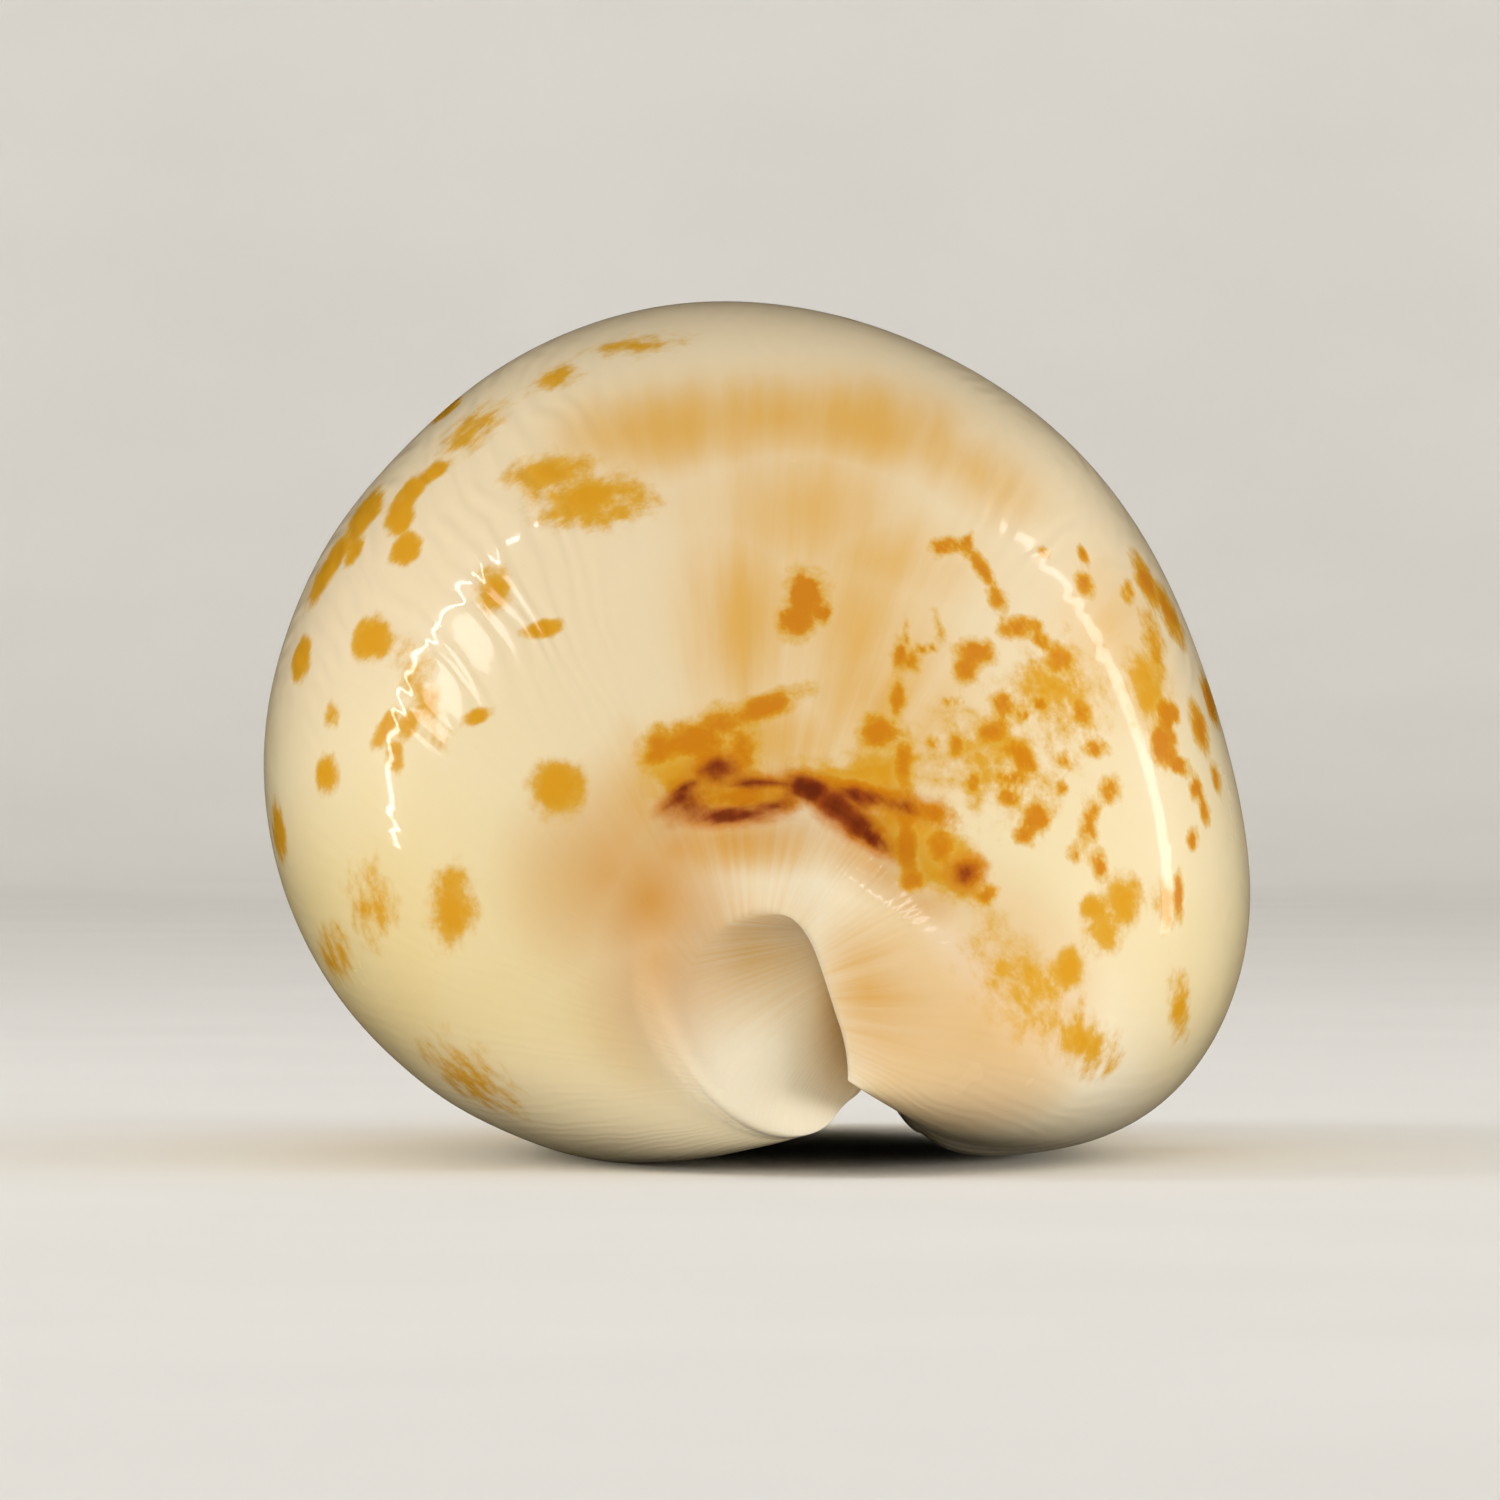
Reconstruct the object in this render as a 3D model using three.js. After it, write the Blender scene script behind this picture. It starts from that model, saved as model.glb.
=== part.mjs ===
// A cowrie shell resting on its base, in millimetres, +Z up.
// X runs from the inner (columella) side to the outer lip, Y from the spire end to the front end.
// The shell grew as one piece: a domed body whorl whose two lips roll in to a narrow toothed slot
// along the base, open at both ends through a short canal.
//
// The surface is swept from the spire end to the front end. Each section is one closed loop: the
// outside from the right lip over the top to the left lip, round the left lip's edge, back along
// the inside, and round the right lip's edge. At both ends the loop closes to a thin rim.
import * as THREE from 'three';
import { mergeVertices } from 'three/addons/utils/BufferGeometryUtils.js';

// The widest section: its place along Y, and its radii every 30 degrees from +X about its centre.
const WIDEST_Y = -3.5;
const GIRTH = {
  centre: { x: 0, z: 11.5 },
  radii: [14.6, 14.01, 14.22, 14.71, 14.83, 14.92, 14.95, 14.05, 12.6, 11.5, 13.4, 15.88],
  first: -66.5,
  last: 282.4,
  skew: 0.8,
};

// The slot between the lips: both sides of the base curl up towards it. Near the spire end the curl
// is lower and narrower, and a broad stretch of the base is lifted round it.
const SLOT = {
  middle: { spire: 3.15, onward: 3.65 },
  lift: { spire: 1.7, onward: 2.6 },
  spread: { spire: 1.7, onward: 2 },
  baseLift: 1.4,
  baseSpread: 4.5,
  teethSpread: 2.8,
};
const LIP_ROUND = 0.25;
const TOOTH = { pitch: 1.62, height: 0.34 };

// The rim at each end: an oval seen along Y, from its right tip to its left tip, in degrees.
const SPIRE = {
  y: -22.4,
  x: 0.25,
  z: 4.75,
  halfX: 2.15,
  halfZ: 3.2,
  lean: -0.33,
  curl: 1.2,
  first: -30,
  last: 320,
};
const FRONT = {
  y: 22.6,
  x: 1.9,
  z: 4.6,
  halfX: 1.5,
  halfZ: 2.9,
  lean: -0.05,
  curl: 0.2,
  first: -30,
  last: 292,
};

// The canal a little way inside each rim. It turns to the right as it goes in.
const SPIRE_CANAL = {
  x: 4.15,
  z: 5.3,
  halfX: 0.9,
  halfZ: 2.1,
  lean: 0,
  curl: 0,
  first: -50,
  last: 236,
  turn: 0.38,
};
const FRONT_CANAL = {
  x: 2.6,
  z: 4.9,
  halfX: 0.95,
  halfZ: 2,
  lean: 0,
  curl: 0,
  first: -52,
  last: 236,
  turn: 0.5,
};

// How far the lips and the roof of the canal stand out past the ends of the body.
const SPIRE_LOBES = [
  { angle: 236, width: 62, height: 2, depth: 0.085, power: 4 },
  { angle: 95, width: 70, height: 1, depth: 0.17, power: 2 },
  { angle: -32, width: 75, height: 1.5, depth: 0.42, power: 1.7 },
];
const FRONT_LOBES = [
  { angle: 130, width: 400, height: 0.5, depth: 0.26, power: 2 },
  { angle: 235, width: 60, height: 1, depth: 0.26, power: 2 },
  { angle: -30, width: 60, height: 1, depth: 0.26, power: 2 },
];

// The outer lip's end is a raised fold below this line, seen from the spire end.
const FOLD = { from: { x: 0, z: 11.3 }, to: { x: 10.6, z: 3.1 }, height: 1.45, softness: 0.38 };
// The sunken seam of the spire, above the fold.
const SEAM = {
  points: [[-3.5, 9.5], [-2.7, 10.5], [-1.6, 11.1], [1, 11.25], [2.3, 10.75], [3.7, 9.6], [6.6, 7.5]],
  depth: 0.5,
  width: 0.7,
};

// The wall, and the thick columella that fills the lower left of the inside.
const WALL = { top: 1.3, baseExtra: 2.3, columella: 4.6, columellaAngle: 233, columellaWidth: 27 };
const RIM_WALL = 0.5;
// Behind the rim's upper right the wall is thicker along Y, where the canal turns under it.
const RIM_BACKING = { angle: 25, width: 75, depth: 0.9 };
// How far the hollow behind each rim is moved in along Y.
const CANAL_INSET = 0.3;
// How much is flattened off the lowest places of the base, where the shell rests.
const REST_FLAT = 0.14;

// Facets: along the outside, along the inside and round each lip, and rows in the two end zones.
const OUTER_STEPS = 36;
const INNER_STEPS = OUTER_STEPS / 2;
const LIP_STEPS = 6;
// Moves a few columns from the left lip, where they crowd, to the broad right side.
const EVENING = 0.25;
const SPIRE_ROWS = 10;
const FRONT_ROWS = 8;
const SPIRE_ZONE = 0.5;
const FRONT_ZONE = 0.44;

const clamp = (value, low, high) => Math.min(Math.max(value, low), high);
const mix = (from, to, part) => from + (to - from) * part;
const hill = (value, centre, width) => Math.exp(-(((value - centre) / width) ** 2));
const radians = (degrees) => (degrees * Math.PI) / 180;

function ease(from, to, value) {
  const part = clamp((value - from) / (to - from), 0, 1);
  return part * part * (3 - 2 * part);
}

// A smooth closed curve through evenly spaced radii: their mean plus whole waves round the circle.
function radiusAt(radii, angle) {
  const count = radii.length;
  let radius = radii.reduce((sum, value) => sum + value, 0) / count;
  for (let wave = 1; wave <= count / 2; wave += 1) {
    const weight = wave === count / 2 ? 1 / count : 2 / count;
    radii.forEach((value, step) => {
      const phase = wave * (angle - (step * 2 * Math.PI) / count);
      radius += weight * value * Math.cos(phase);
    });
  }
  return radius;
}

// A point of an end oval. It leans with height, and its upper half curls to the right.
function ovalPoint(oval, angle) {
  const rise = oval.halfZ * Math.sin(angle);
  const curl = oval.curl * Math.max(Math.sin(angle), 0) ** 2;
  return { x: oval.x + oval.halfX * Math.cos(angle) + oval.lean * rise + curl, z: oval.z + rise };
}

// The sum of an end's lobes at a place on its rim, fading with the sweep angle from the end.
function standOut(lobes, angle, fromEnd) {
  const degrees = THREE.MathUtils.radToDeg(angle);
  return lobes.reduce((sum, lobe) => {
    const fade = Math.exp(-((fromEnd / lobe.depth) ** lobe.power));
    return sum + lobe.height * hill(degrees, lobe.angle, lobe.width) * fade;
  }, 0);
}

// How strongly a point lies below the fold's line, from 0 to 1. It fades out over the canal's roof
// and at the right.
function foldAt(part, x, z) {
  const run = { x: FOLD.to.x - FOLD.from.x, z: FOLD.to.z - FOLD.from.z };
  const across = ((x - FOLD.from.x) * run.z - (z - FOLD.from.z) * run.x) / Math.hypot(run.x, run.z);
  const softness = FOLD.softness * (1 + 1.6 * ease(6, 12, x));
  const below = 1 / (1 + Math.exp(-across / softness));
  return below * (1 - ease(0.24, 0.46, part)) * (1 - ease(8, 14.6, x)) * ease(-2.5, 3, z);
}

// How deep the seam is at a point, from 0 to 1: a round groove along a bent line, fading at its ends.
function seamAt(x, z) {
  const spans = SEAM.points.length - 1;
  let nearest = { distance: Infinity, along: 0 };
  for (let span = 0; span < spans; span += 1) {
    const [fromX, fromZ] = SEAM.points[span];
    const runX = SEAM.points[span + 1][0] - fromX;
    const runZ = SEAM.points[span + 1][1] - fromZ;
    const part = clamp(((x - fromX) * runX + (z - fromZ) * runZ) / (runX ** 2 + runZ ** 2), 0, 1);
    const distance = Math.hypot(x - fromX - part * runX, z - fromZ - part * runZ);
    if (distance < nearest.distance) {
      nearest = { distance, along: (span + part) / spans };
    }
  }
  const fade = ease(0, 0.22, nearest.along) * ease(0, 0.3, 1 - nearest.along);
  return hill(nearest.distance, 0, SEAM.width) * fade;
}

// What one row of the sweep shares: which end it is nearer to, its place along Y and its tooth height.
function rowAt(sweep) {
  const spire = sweep < Math.PI / 2;
  const fromEnd = spire ? sweep : Math.PI - sweep;
  const reach = spire ? WIDEST_Y - SPIRE.y : FRONT.y - WIDEST_Y;
  const y = WIDEST_Y - reach * Math.cos(sweep);
  const wave = 0.5 + 0.5 * Math.cos((2 * Math.PI * (y - WIDEST_Y)) / TOOTH.pitch);
  const toothed = ease(0.85, 1.25, sweep) * ease(0.35, 0.6, Math.PI - sweep);
  return { sweep, spire, fromEnd, y, tooth: TOOTH.height * toothed * wave };
}

// A point of the girth as this row uses it, with the base lifted towards the slot.
function girthPoint(row, angle) {
  const radius = radiusAt(GIRTH.radii, angle);
  const x = GIRTH.centre.x + radius * Math.cos(angle);
  const onward = ease(1.4, 2.6, row.sweep);
  const slotAt = (pair) => mix(pair.spire, pair.onward, onward);
  const curl = slotAt(SLOT.lift) * hill(x, slotAt(SLOT.middle), slotAt(SLOT.spread));
  const broad = SLOT.baseLift * (1 - onward) * hill(x, slotAt(SLOT.middle), SLOT.baseSpread);
  const lift = (curl + broad) * ease(0.3, 0.8, -Math.sin(angle));
  return { x, z: GIRTH.centre.z + radius * Math.sin(angle) + lift };
}

// The dome that carries a section from the end's rim (0) to the girth (1).
function domeAt(row, girthAngle) {
  const above = Math.max(Math.sin(girthAngle), 0) ** 2;
  const under = Math.max(-Math.sin(girthAngle), 0) ** 2;
  const blunt = row.spire ? 2.2 + 0.5 * hill(THREE.MathUtils.radToDeg(girthAngle), -10, 60) : 2;
  const round = row.spire ? 0.5 - 0.05 * under : 0.66 + 0.22 * above - 0.16 * under;
  return clamp(1 - Math.abs(Math.cos(row.sweep)) ** blunt, 0, 1) ** round;
}

function anglesAt(part) {
  const skewed = part + GIRTH.skew * part * part * (1 - part);
  return {
    girth: radians(mix(GIRTH.first, GIRTH.last, skewed)),
    spire: radians(mix(SPIRE.first, SPIRE.last, part)),
    front: radians(mix(FRONT.first, FRONT.last, part)),
  };
}

// A point of the outside. part runs from 0 at the right lip, over the top, to 1 at the left lip.
function outerPoint(row, part) {
  const angles = anglesAt(part);
  const girth = girthPoint(row, angles.girth);
  const rim = row.spire ? ovalPoint(SPIRE, angles.spire) : ovalPoint(FRONT, angles.front);
  const dome = domeAt(row, angles.girth);
  const x = mix(rim.x, girth.x, dome);
  const z = mix(rim.z, girth.z, dome);
  if (!row.spire) {
    return new THREE.Vector3(x, row.y + standOut(FRONT_LOBES, angles.front, row.fromEnd), z);
  }
  const face = 1 - ease(0.7, 1.35, row.sweep);
  const raised = (FOLD.height * foldAt(part, x, z) - SEAM.depth * seamAt(x, z)) * face;
  return new THREE.Vector3(x, row.y - standOut(SPIRE_LOBES, angles.spire, row.fromEnd) - raised, z);
}

// Inside an end: the rim's oval becomes the turned canal's oval over a short way in.
function canalPoint(row, part) {
  const rim = row.spire ? SPIRE : FRONT;
  const canal = row.spire ? SPIRE_CANAL : FRONT_CANAL;
  const turned = 1 - (1 - clamp(row.fromEnd / canal.turn, 0, 1)) ** 2;
  const first = mix(rim.first, canal.first, turned);
  const last = mix(rim.last, canal.last, turned);
  const angle = radians(mix(first, last, part));
  const from = ovalPoint(rim, angle);
  const to = ovalPoint(canal, angle);
  const wall = RIM_WALL * Math.sin((clamp(row.fromEnd / 0.13, 0, 1) * Math.PI) / 2) * (1 - turned);
  return {
    x: mix(from.x, to.x, turned) - wall * Math.cos(angle),
    z: mix(from.z, to.z, turned) - wall * Math.sin(angle),
  };
}

function innerPoint(row, part) {
  const angles = anglesAt(part);
  const outer = outerPoint(row, part);
  const canal = canalPoint(row, part);
  const low = (1 - Math.sin(angles.girth)) / 2;
  const columella = hill(THREE.MathUtils.radToDeg(angles.girth), WALL.columellaAngle, WALL.columellaWidth);
  const wall = WALL.top + WALL.baseExtra * low ** 3 + WALL.columella * columella;
  const open = ease(0.4, row.spire ? 1.15 : 1.25, row.fromEnd);
  const way = row.spire ? 1 : -1;
  const rimY = outerPoint(rowAt(row.spire ? 0 : Math.PI), part).y;
  const backing = row.spire
    ? hill(THREE.MathUtils.radToDeg(angles.spire), RIM_BACKING.angle, RIM_BACKING.width)
    : 0;
  const behind = ease(0, 0.07, row.fromEnd) * (1 - ease(0.3, 0.8, row.fromEnd));
  const inset = way * CANAL_INSET * (1 - ease(0.5, 1.2, row.fromEnd));
  const deep = ease(0, 0.6, row.fromEnd) ** 0.8;
  return new THREE.Vector3(
    mix(canal.x, outer.x - wall * Math.cos(angles.girth), open),
    mix(rimY, row.y + inset, deep) + RIM_BACKING.depth * backing * behind,
    mix(canal.z, outer.z - wall * Math.sin(angles.girth), open),
  );
}

// The outside with its teeth: ridges across the base that fade away from the slot.
function toothedOuterPoint(row, part) {
  const point = outerPoint(row, part);
  const right = part < 0.5;
  const edge = outerPoint(row, right ? 0 : 1).x;
  const beside = hill(point.x, edge, SLOT.teethSpread);
  const under = ease(0.6, 0.9, -Math.sin(anglesAt(part).girth));
  point.z -= row.tooth * beside * under;
  return point;
}

// The rounded edge of a lip, from the outside (turn 0) to the inside (turn PI). side is +1 on the left.
function lipPoint(row, side, turn) {
  const part = side > 0 ? 1 : 0;
  const from = outerPoint(row, part);
  const to = innerPoint(row, part);
  const point = from.clone().add(to).multiplyScalar(0.5);
  point.addScaledVector(from.clone().sub(to), Math.cos(turn) / 2);
  const bulge = LIP_ROUND * ease(0.15, 0.7, row.fromEnd) + row.tooth;
  point.x += side * bulge * Math.sin(turn);
  point.z -= row.tooth * Math.max(Math.cos(turn), 0);
  return point;
}

// One closed loop of points round a section.
function sectionLoop(row) {
  const points = [];
  for (let step = 0; step <= OUTER_STEPS; step += 1) {
    const part = step / OUTER_STEPS;
    points.push(toothedOuterPoint(row, mix(part, part * part, EVENING)));
  }
  for (let step = 1; step < LIP_STEPS; step += 1) {
    points.push(lipPoint(row, 1, (step * Math.PI) / LIP_STEPS));
  }
  for (let step = INNER_STEPS; step >= 0; step -= 1) {
    const part = step / INNER_STEPS;
    points.push(innerPoint(row, mix(part, part * part, EVENING)));
  }
  for (let step = LIP_STEPS - 1; step > 0; step -= 1) {
    points.push(lipPoint(row, -1, (step * Math.PI) / LIP_STEPS));
  }
  return points;
}

// The sweep angles of all rows: close rows at the ends, and two rows for each tooth between them.
function sweepAngles() {
  const angles = [];
  for (let row = 0; row < SPIRE_ROWS; row += 1) {
    angles.push(SPIRE_ZONE * (row / SPIRE_ROWS) ** 1.15);
  }
  const half = TOOTH.pitch / 2;
  const spireReach = WIDEST_Y - SPIRE.y;
  const frontReach = FRONT.y - WIDEST_Y;
  const first = Math.ceil((-spireReach * Math.cos(SPIRE_ZONE)) / half);
  const last = Math.floor((frontReach * Math.cos(FRONT_ZONE)) / half);
  for (let count = first; count <= last; count += 1) {
    const offset = count * half;
    angles.push(Math.acos(-offset / (offset < 0 ? spireReach : frontReach)));
  }
  for (let row = FRONT_ROWS - 1; row >= 0; row -= 1) {
    angles.push(Math.PI - FRONT_ZONE * (row / FRONT_ROWS) ** 1.15);
  }
  return angles;
}

// On an end row the loop is closed to the rim, so each inside point is the outside point it meets.
function rimColumn(column) {
  const innerStart = OUTER_STEPS + LIP_STEPS;
  const innerEnd = innerStart + INNER_STEPS;
  if (column <= OUTER_STEPS) {
    return column;
  }
  if (column < innerStart) {
    return OUTER_STEPS;
  }
  if (column <= innerEnd) {
    return 2 * (innerEnd - column);
  }
  return 0;
}

function shellGeometry() {
  const loops = sweepAngles().map((sweep) => sectionLoop(rowAt(sweep)));
  const columns = loops[0].length;
  const lastRow = loops.length - 1;
  const isRim = (row) => row === 0 || row === lastRow;
  const vertex = (row, column) => {
    const around = column % columns;
    return row * columns + (isRim(row) ? rimColumn(around) : around);
  };
  const index = [];
  const addTriangle = (a, b, c) => {
    if (a !== b && b !== c && c !== a) {
      index.push(a, b, c);
    }
  };
  for (let row = 0; row < lastRow; row += 1) {
    for (let column = 0; column < columns; column += 1) {
      const here = vertex(row, column);
      const next = vertex(row, column + 1);
      const above = vertex(row + 1, column);
      const beyond = vertex(row + 1, column + 1);
      addTriangle(here, above, beyond);
      addTriangle(here, beyond, next);
    }
  }
  // The inside has half as many facets, so a narrow triangle joins each pair of outside ones to it.
  for (let step = 0; step < OUTER_STEPS; step += 2) {
    addTriangle(vertex(0, step), vertex(0, step + 1), vertex(0, step + 2));
    addTriangle(vertex(lastRow, step), vertex(lastRow, step + 2), vertex(lastRow, step + 1));
  }
  const geometry = new THREE.BufferGeometry();
  const positions = loops.flat().flatMap((point) => point.toArray());
  geometry.setAttribute('position', new THREE.Float32BufferAttribute(positions, 3));
  geometry.setIndex(index);
  return mergeVertices(geometry, 1e-5);
}

// Stands the shell on its base: centred in X and Y, with its lowest places pressed flat at z = 0.
function standOnBase(geometry) {
  geometry.computeBoundingBox();
  const { min, max } = geometry.boundingBox;
  geometry.translate(-(min.x + max.x) / 2, -(min.y + max.y) / 2, -min.z - REST_FLAT);
  const position = geometry.getAttribute('position');
  for (let point = 0; point < position.count; point += 1) {
    position.setZ(point, Math.max(position.getZ(point), 0));
  }
  geometry.computeVertexNormals();
  return geometry;
}

const shellMaterial = new THREE.MeshStandardMaterial({ color: 0xdcc394, roughness: 0.22, metalness: 0 });
const shell = new THREE.Mesh(standOnBase(shellGeometry()), shellMaterial);
shell.name = 'shell';

const cowrie = new THREE.Group();
cowrie.name = 'cowrie';
cowrie.add(shell);

export default cowrie;
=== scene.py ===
"""A glossy cowrie shell resting on a pale floor, seen from its spire end.

The frame is in metres: +X towards the outer lip, +Y from the spire end to the front end, +Z up.
Shapes are worked out in millimetres and scaled once, when the mesh is fitted to the frame's box.
"""

from __future__ import annotations

import logging
import math
from dataclasses import dataclass, field
from enum import Enum

import bpy
import numpy as np
from mathutils import Matrix, Vector


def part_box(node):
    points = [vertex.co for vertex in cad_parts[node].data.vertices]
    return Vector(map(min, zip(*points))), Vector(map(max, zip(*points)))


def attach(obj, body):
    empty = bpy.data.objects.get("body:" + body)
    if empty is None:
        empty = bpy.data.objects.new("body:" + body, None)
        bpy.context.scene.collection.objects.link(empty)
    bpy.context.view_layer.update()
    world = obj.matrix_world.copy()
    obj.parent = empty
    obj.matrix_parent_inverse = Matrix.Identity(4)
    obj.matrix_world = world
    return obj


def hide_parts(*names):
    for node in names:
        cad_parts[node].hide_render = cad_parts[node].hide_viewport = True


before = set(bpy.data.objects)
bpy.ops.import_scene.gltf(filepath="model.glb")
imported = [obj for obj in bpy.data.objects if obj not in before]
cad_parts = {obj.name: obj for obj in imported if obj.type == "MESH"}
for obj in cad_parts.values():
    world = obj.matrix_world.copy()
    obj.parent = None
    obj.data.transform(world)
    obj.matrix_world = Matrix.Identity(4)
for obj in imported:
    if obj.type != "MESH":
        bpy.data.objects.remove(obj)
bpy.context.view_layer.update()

log = logging.getLogger("cowrie")

# Arrays of values over the surface, a pair of them, a pair of plain values or the two ends of a
# smooth step, and a place where a material's nodes are joined.
Grid = np.ndarray
Plane = tuple[Grid, Grid]
Span = tuple[float, float]
Socket = bpy.types.NodeSocket

MM = 0.001

# The photograph's scale on the shell's widest section: the outline is 986 pixels and 30 mm wide.
PIXEL_MM = 30.0 / 986.0
PHOTO_WIDTH_PX = 1500.0
PHOTO_ZERO_PX = (755.0, 1163.5)
PHOTO_CENTRE_PX = (750.0, 750.0)
CAMERA_DISTANCE_MM = 350.0


def ease(start: float | Grid, stop: float | Grid, value: float | Grid) -> Grid:
    """Smooth step: 3t^2 - 2t^3 of how far value lies from start to stop, held at 0 and 1 outside."""
    part = np.clip((value - start) / (stop - start), 0.0, 1.0)
    return part * part * (3.0 - 2.0 * part)


def mix(start: float | Grid, stop: float | Grid, part: float | Grid) -> Grid:
    """Straight blend: start at part 0 and stop at part 1."""
    return start + (stop - start) * part


def hill(value: float | Grid, centre: float | Grid, width: float | Grid) -> Grid:
    """Bell curve: exp(-((value - centre) / width)^2)."""
    return np.exp(-(((value - centre) / width) ** 2))


def smooth_line(points: tuple[Span, ...], steps: int) -> Grid:
    """A smooth line through points, each span the cubic whose end slopes are half the chord past it.

    Args:
        points: Given places the line runs through.
        steps: How many places each span is divided into.

    Returns:
        The line as an array of shape (places, 2).
    """
    given = np.array(points, float)
    padded = np.vstack([2 * given[0] - given[1], given, 2 * given[-1] - given[-2]])
    before, start, stop, after = padded[:-3, None], padded[1:-2, None], padded[2:-1, None], padded[3:, None]
    t = np.linspace(0.0, 1.0, steps, endpoint=False)[None, :, None]
    slope_in, slope_out = (stop - before) / 2, (after - start) / 2
    spans = (
        (2 * t**3 - 3 * t**2 + 1) * start
        + (t**3 - 2 * t**2 + t) * slope_in
        + (3 * t**2 - 2 * t**3) * stop
        + (t**3 - t**2) * slope_out
    )
    return np.vstack([spans.reshape(-1, 2), given[-1:]])


def nearest_on(line: Grid, x: Grid, z: Grid) -> tuple[Grid, Grid]:
    """The nearest place of a line to each point: the smallest of its places' distances.

    Args:
        line: The line's places, shape (places, 2).
        x: Points' first coordinate.
        z: Points' second coordinate.

    Returns:
        The distance, and how far along the line that place is, from 0 to 1.
    """
    distance = np.full(np.shape(x), np.inf)
    along = np.zeros(np.shape(x))
    for place, (line_x, line_z) in enumerate(line):
        reach = np.hypot(x - line_x, z - line_z)
        closer = reach < distance
        along = np.where(closer, place / (len(line) - 1), along)
        distance = np.where(closer, reach, distance)
    return distance, along


@dataclass(frozen=True)
class Oval:
    """An end's rim or canal, seen along Y: an oval that leans with height and curls to the right above.

    Its angles run from its right tip (first) over the top to its left tip (last), in degrees.
    """

    x: float
    z: float
    half_x: float
    half_z: float
    first: float
    last: float
    lean: float = 0.0
    curl: float = 0.0
    turn: float = 0.0

    def angle(self, part: Grid) -> Grid:
        """The angle at a part of the way round, in radians."""
        return np.radians(mix(self.first, self.last, part))

    def at(self, angle: Grid) -> Plane:
        """Centre plus (half_x cos, half_z sin), with x moved by lean times the rise and by curl sin^2.

        Args:
            angle: Angles round the oval, in radians.

        Returns:
            The x and z of each place.
        """
        rise = self.half_z * np.sin(angle)
        curl = self.curl * np.clip(np.sin(angle), 0.0, None) ** 2
        return self.x + self.half_x * np.cos(angle) + self.lean * rise + curl, self.z + rise


@dataclass(frozen=True)
class Lobe:
    """How far one stretch of an end's rim stands out: a bell round the rim, fading inwards."""

    angle: float
    width: float
    height: float
    depth: float
    power: float

    def at(self, angle: Grid, from_end: Grid) -> Grid:
        """Height times a bell of the angle times exp(-(from_end / depth)^power)."""
        fade = np.exp(-((from_end / self.depth) ** self.power))
        return self.height * hill(np.degrees(angle), self.angle, self.width) * fade


@dataclass(frozen=True)
class Girth:
    """The widest section: its radii every 30 degrees from +X, as a smooth closed curve."""

    z: float = 11.5
    radii: tuple[float, ...] = (
        *(14.6, 14.01, 14.22, 14.71, 14.83, 14.92),
        *(14.95, 14.05, 12.6, 11.5, 13.4, 15.88),
    )
    first: float = -66.5
    last: float = 282.4
    skew: float = 0.8

    def angle(self, part: Grid) -> Grid:
        """The angle at a part of the way round, in radians: part + skew part^2 (1 - part) of the span."""
        return np.radians(mix(self.first, self.last, part + self.skew * part**2 * (1.0 - part)))

    def radius(self, angle: Grid) -> Grid:
        """The radii's mean plus whole waves round the circle, each fitted to all the radii.

        Args:
            angle: Angles about the section's centre, in radians.

        Returns:
            The radius at each angle, in millimetres.
        """
        radii = np.array(self.radii)
        count = len(radii)
        steps = np.arange(count) * 2.0 * math.pi / count
        radius = np.full(np.shape(angle), radii.mean())
        for wave in range(1, count // 2 + 1):
            weight = (1.0 if wave == count // 2 else 2.0) / count
            phase = wave * (angle[..., None] - steps)
            radius = radius + weight * (radii * np.cos(phase)).sum(-1)
        return radius


@dataclass(frozen=True)
class Rows:
    """What each row of the sweep shares, as columns of one value a row."""

    sweep: Grid
    spire: Grid
    from_end: Grid
    y: Grid
    tooth: Grid


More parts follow.
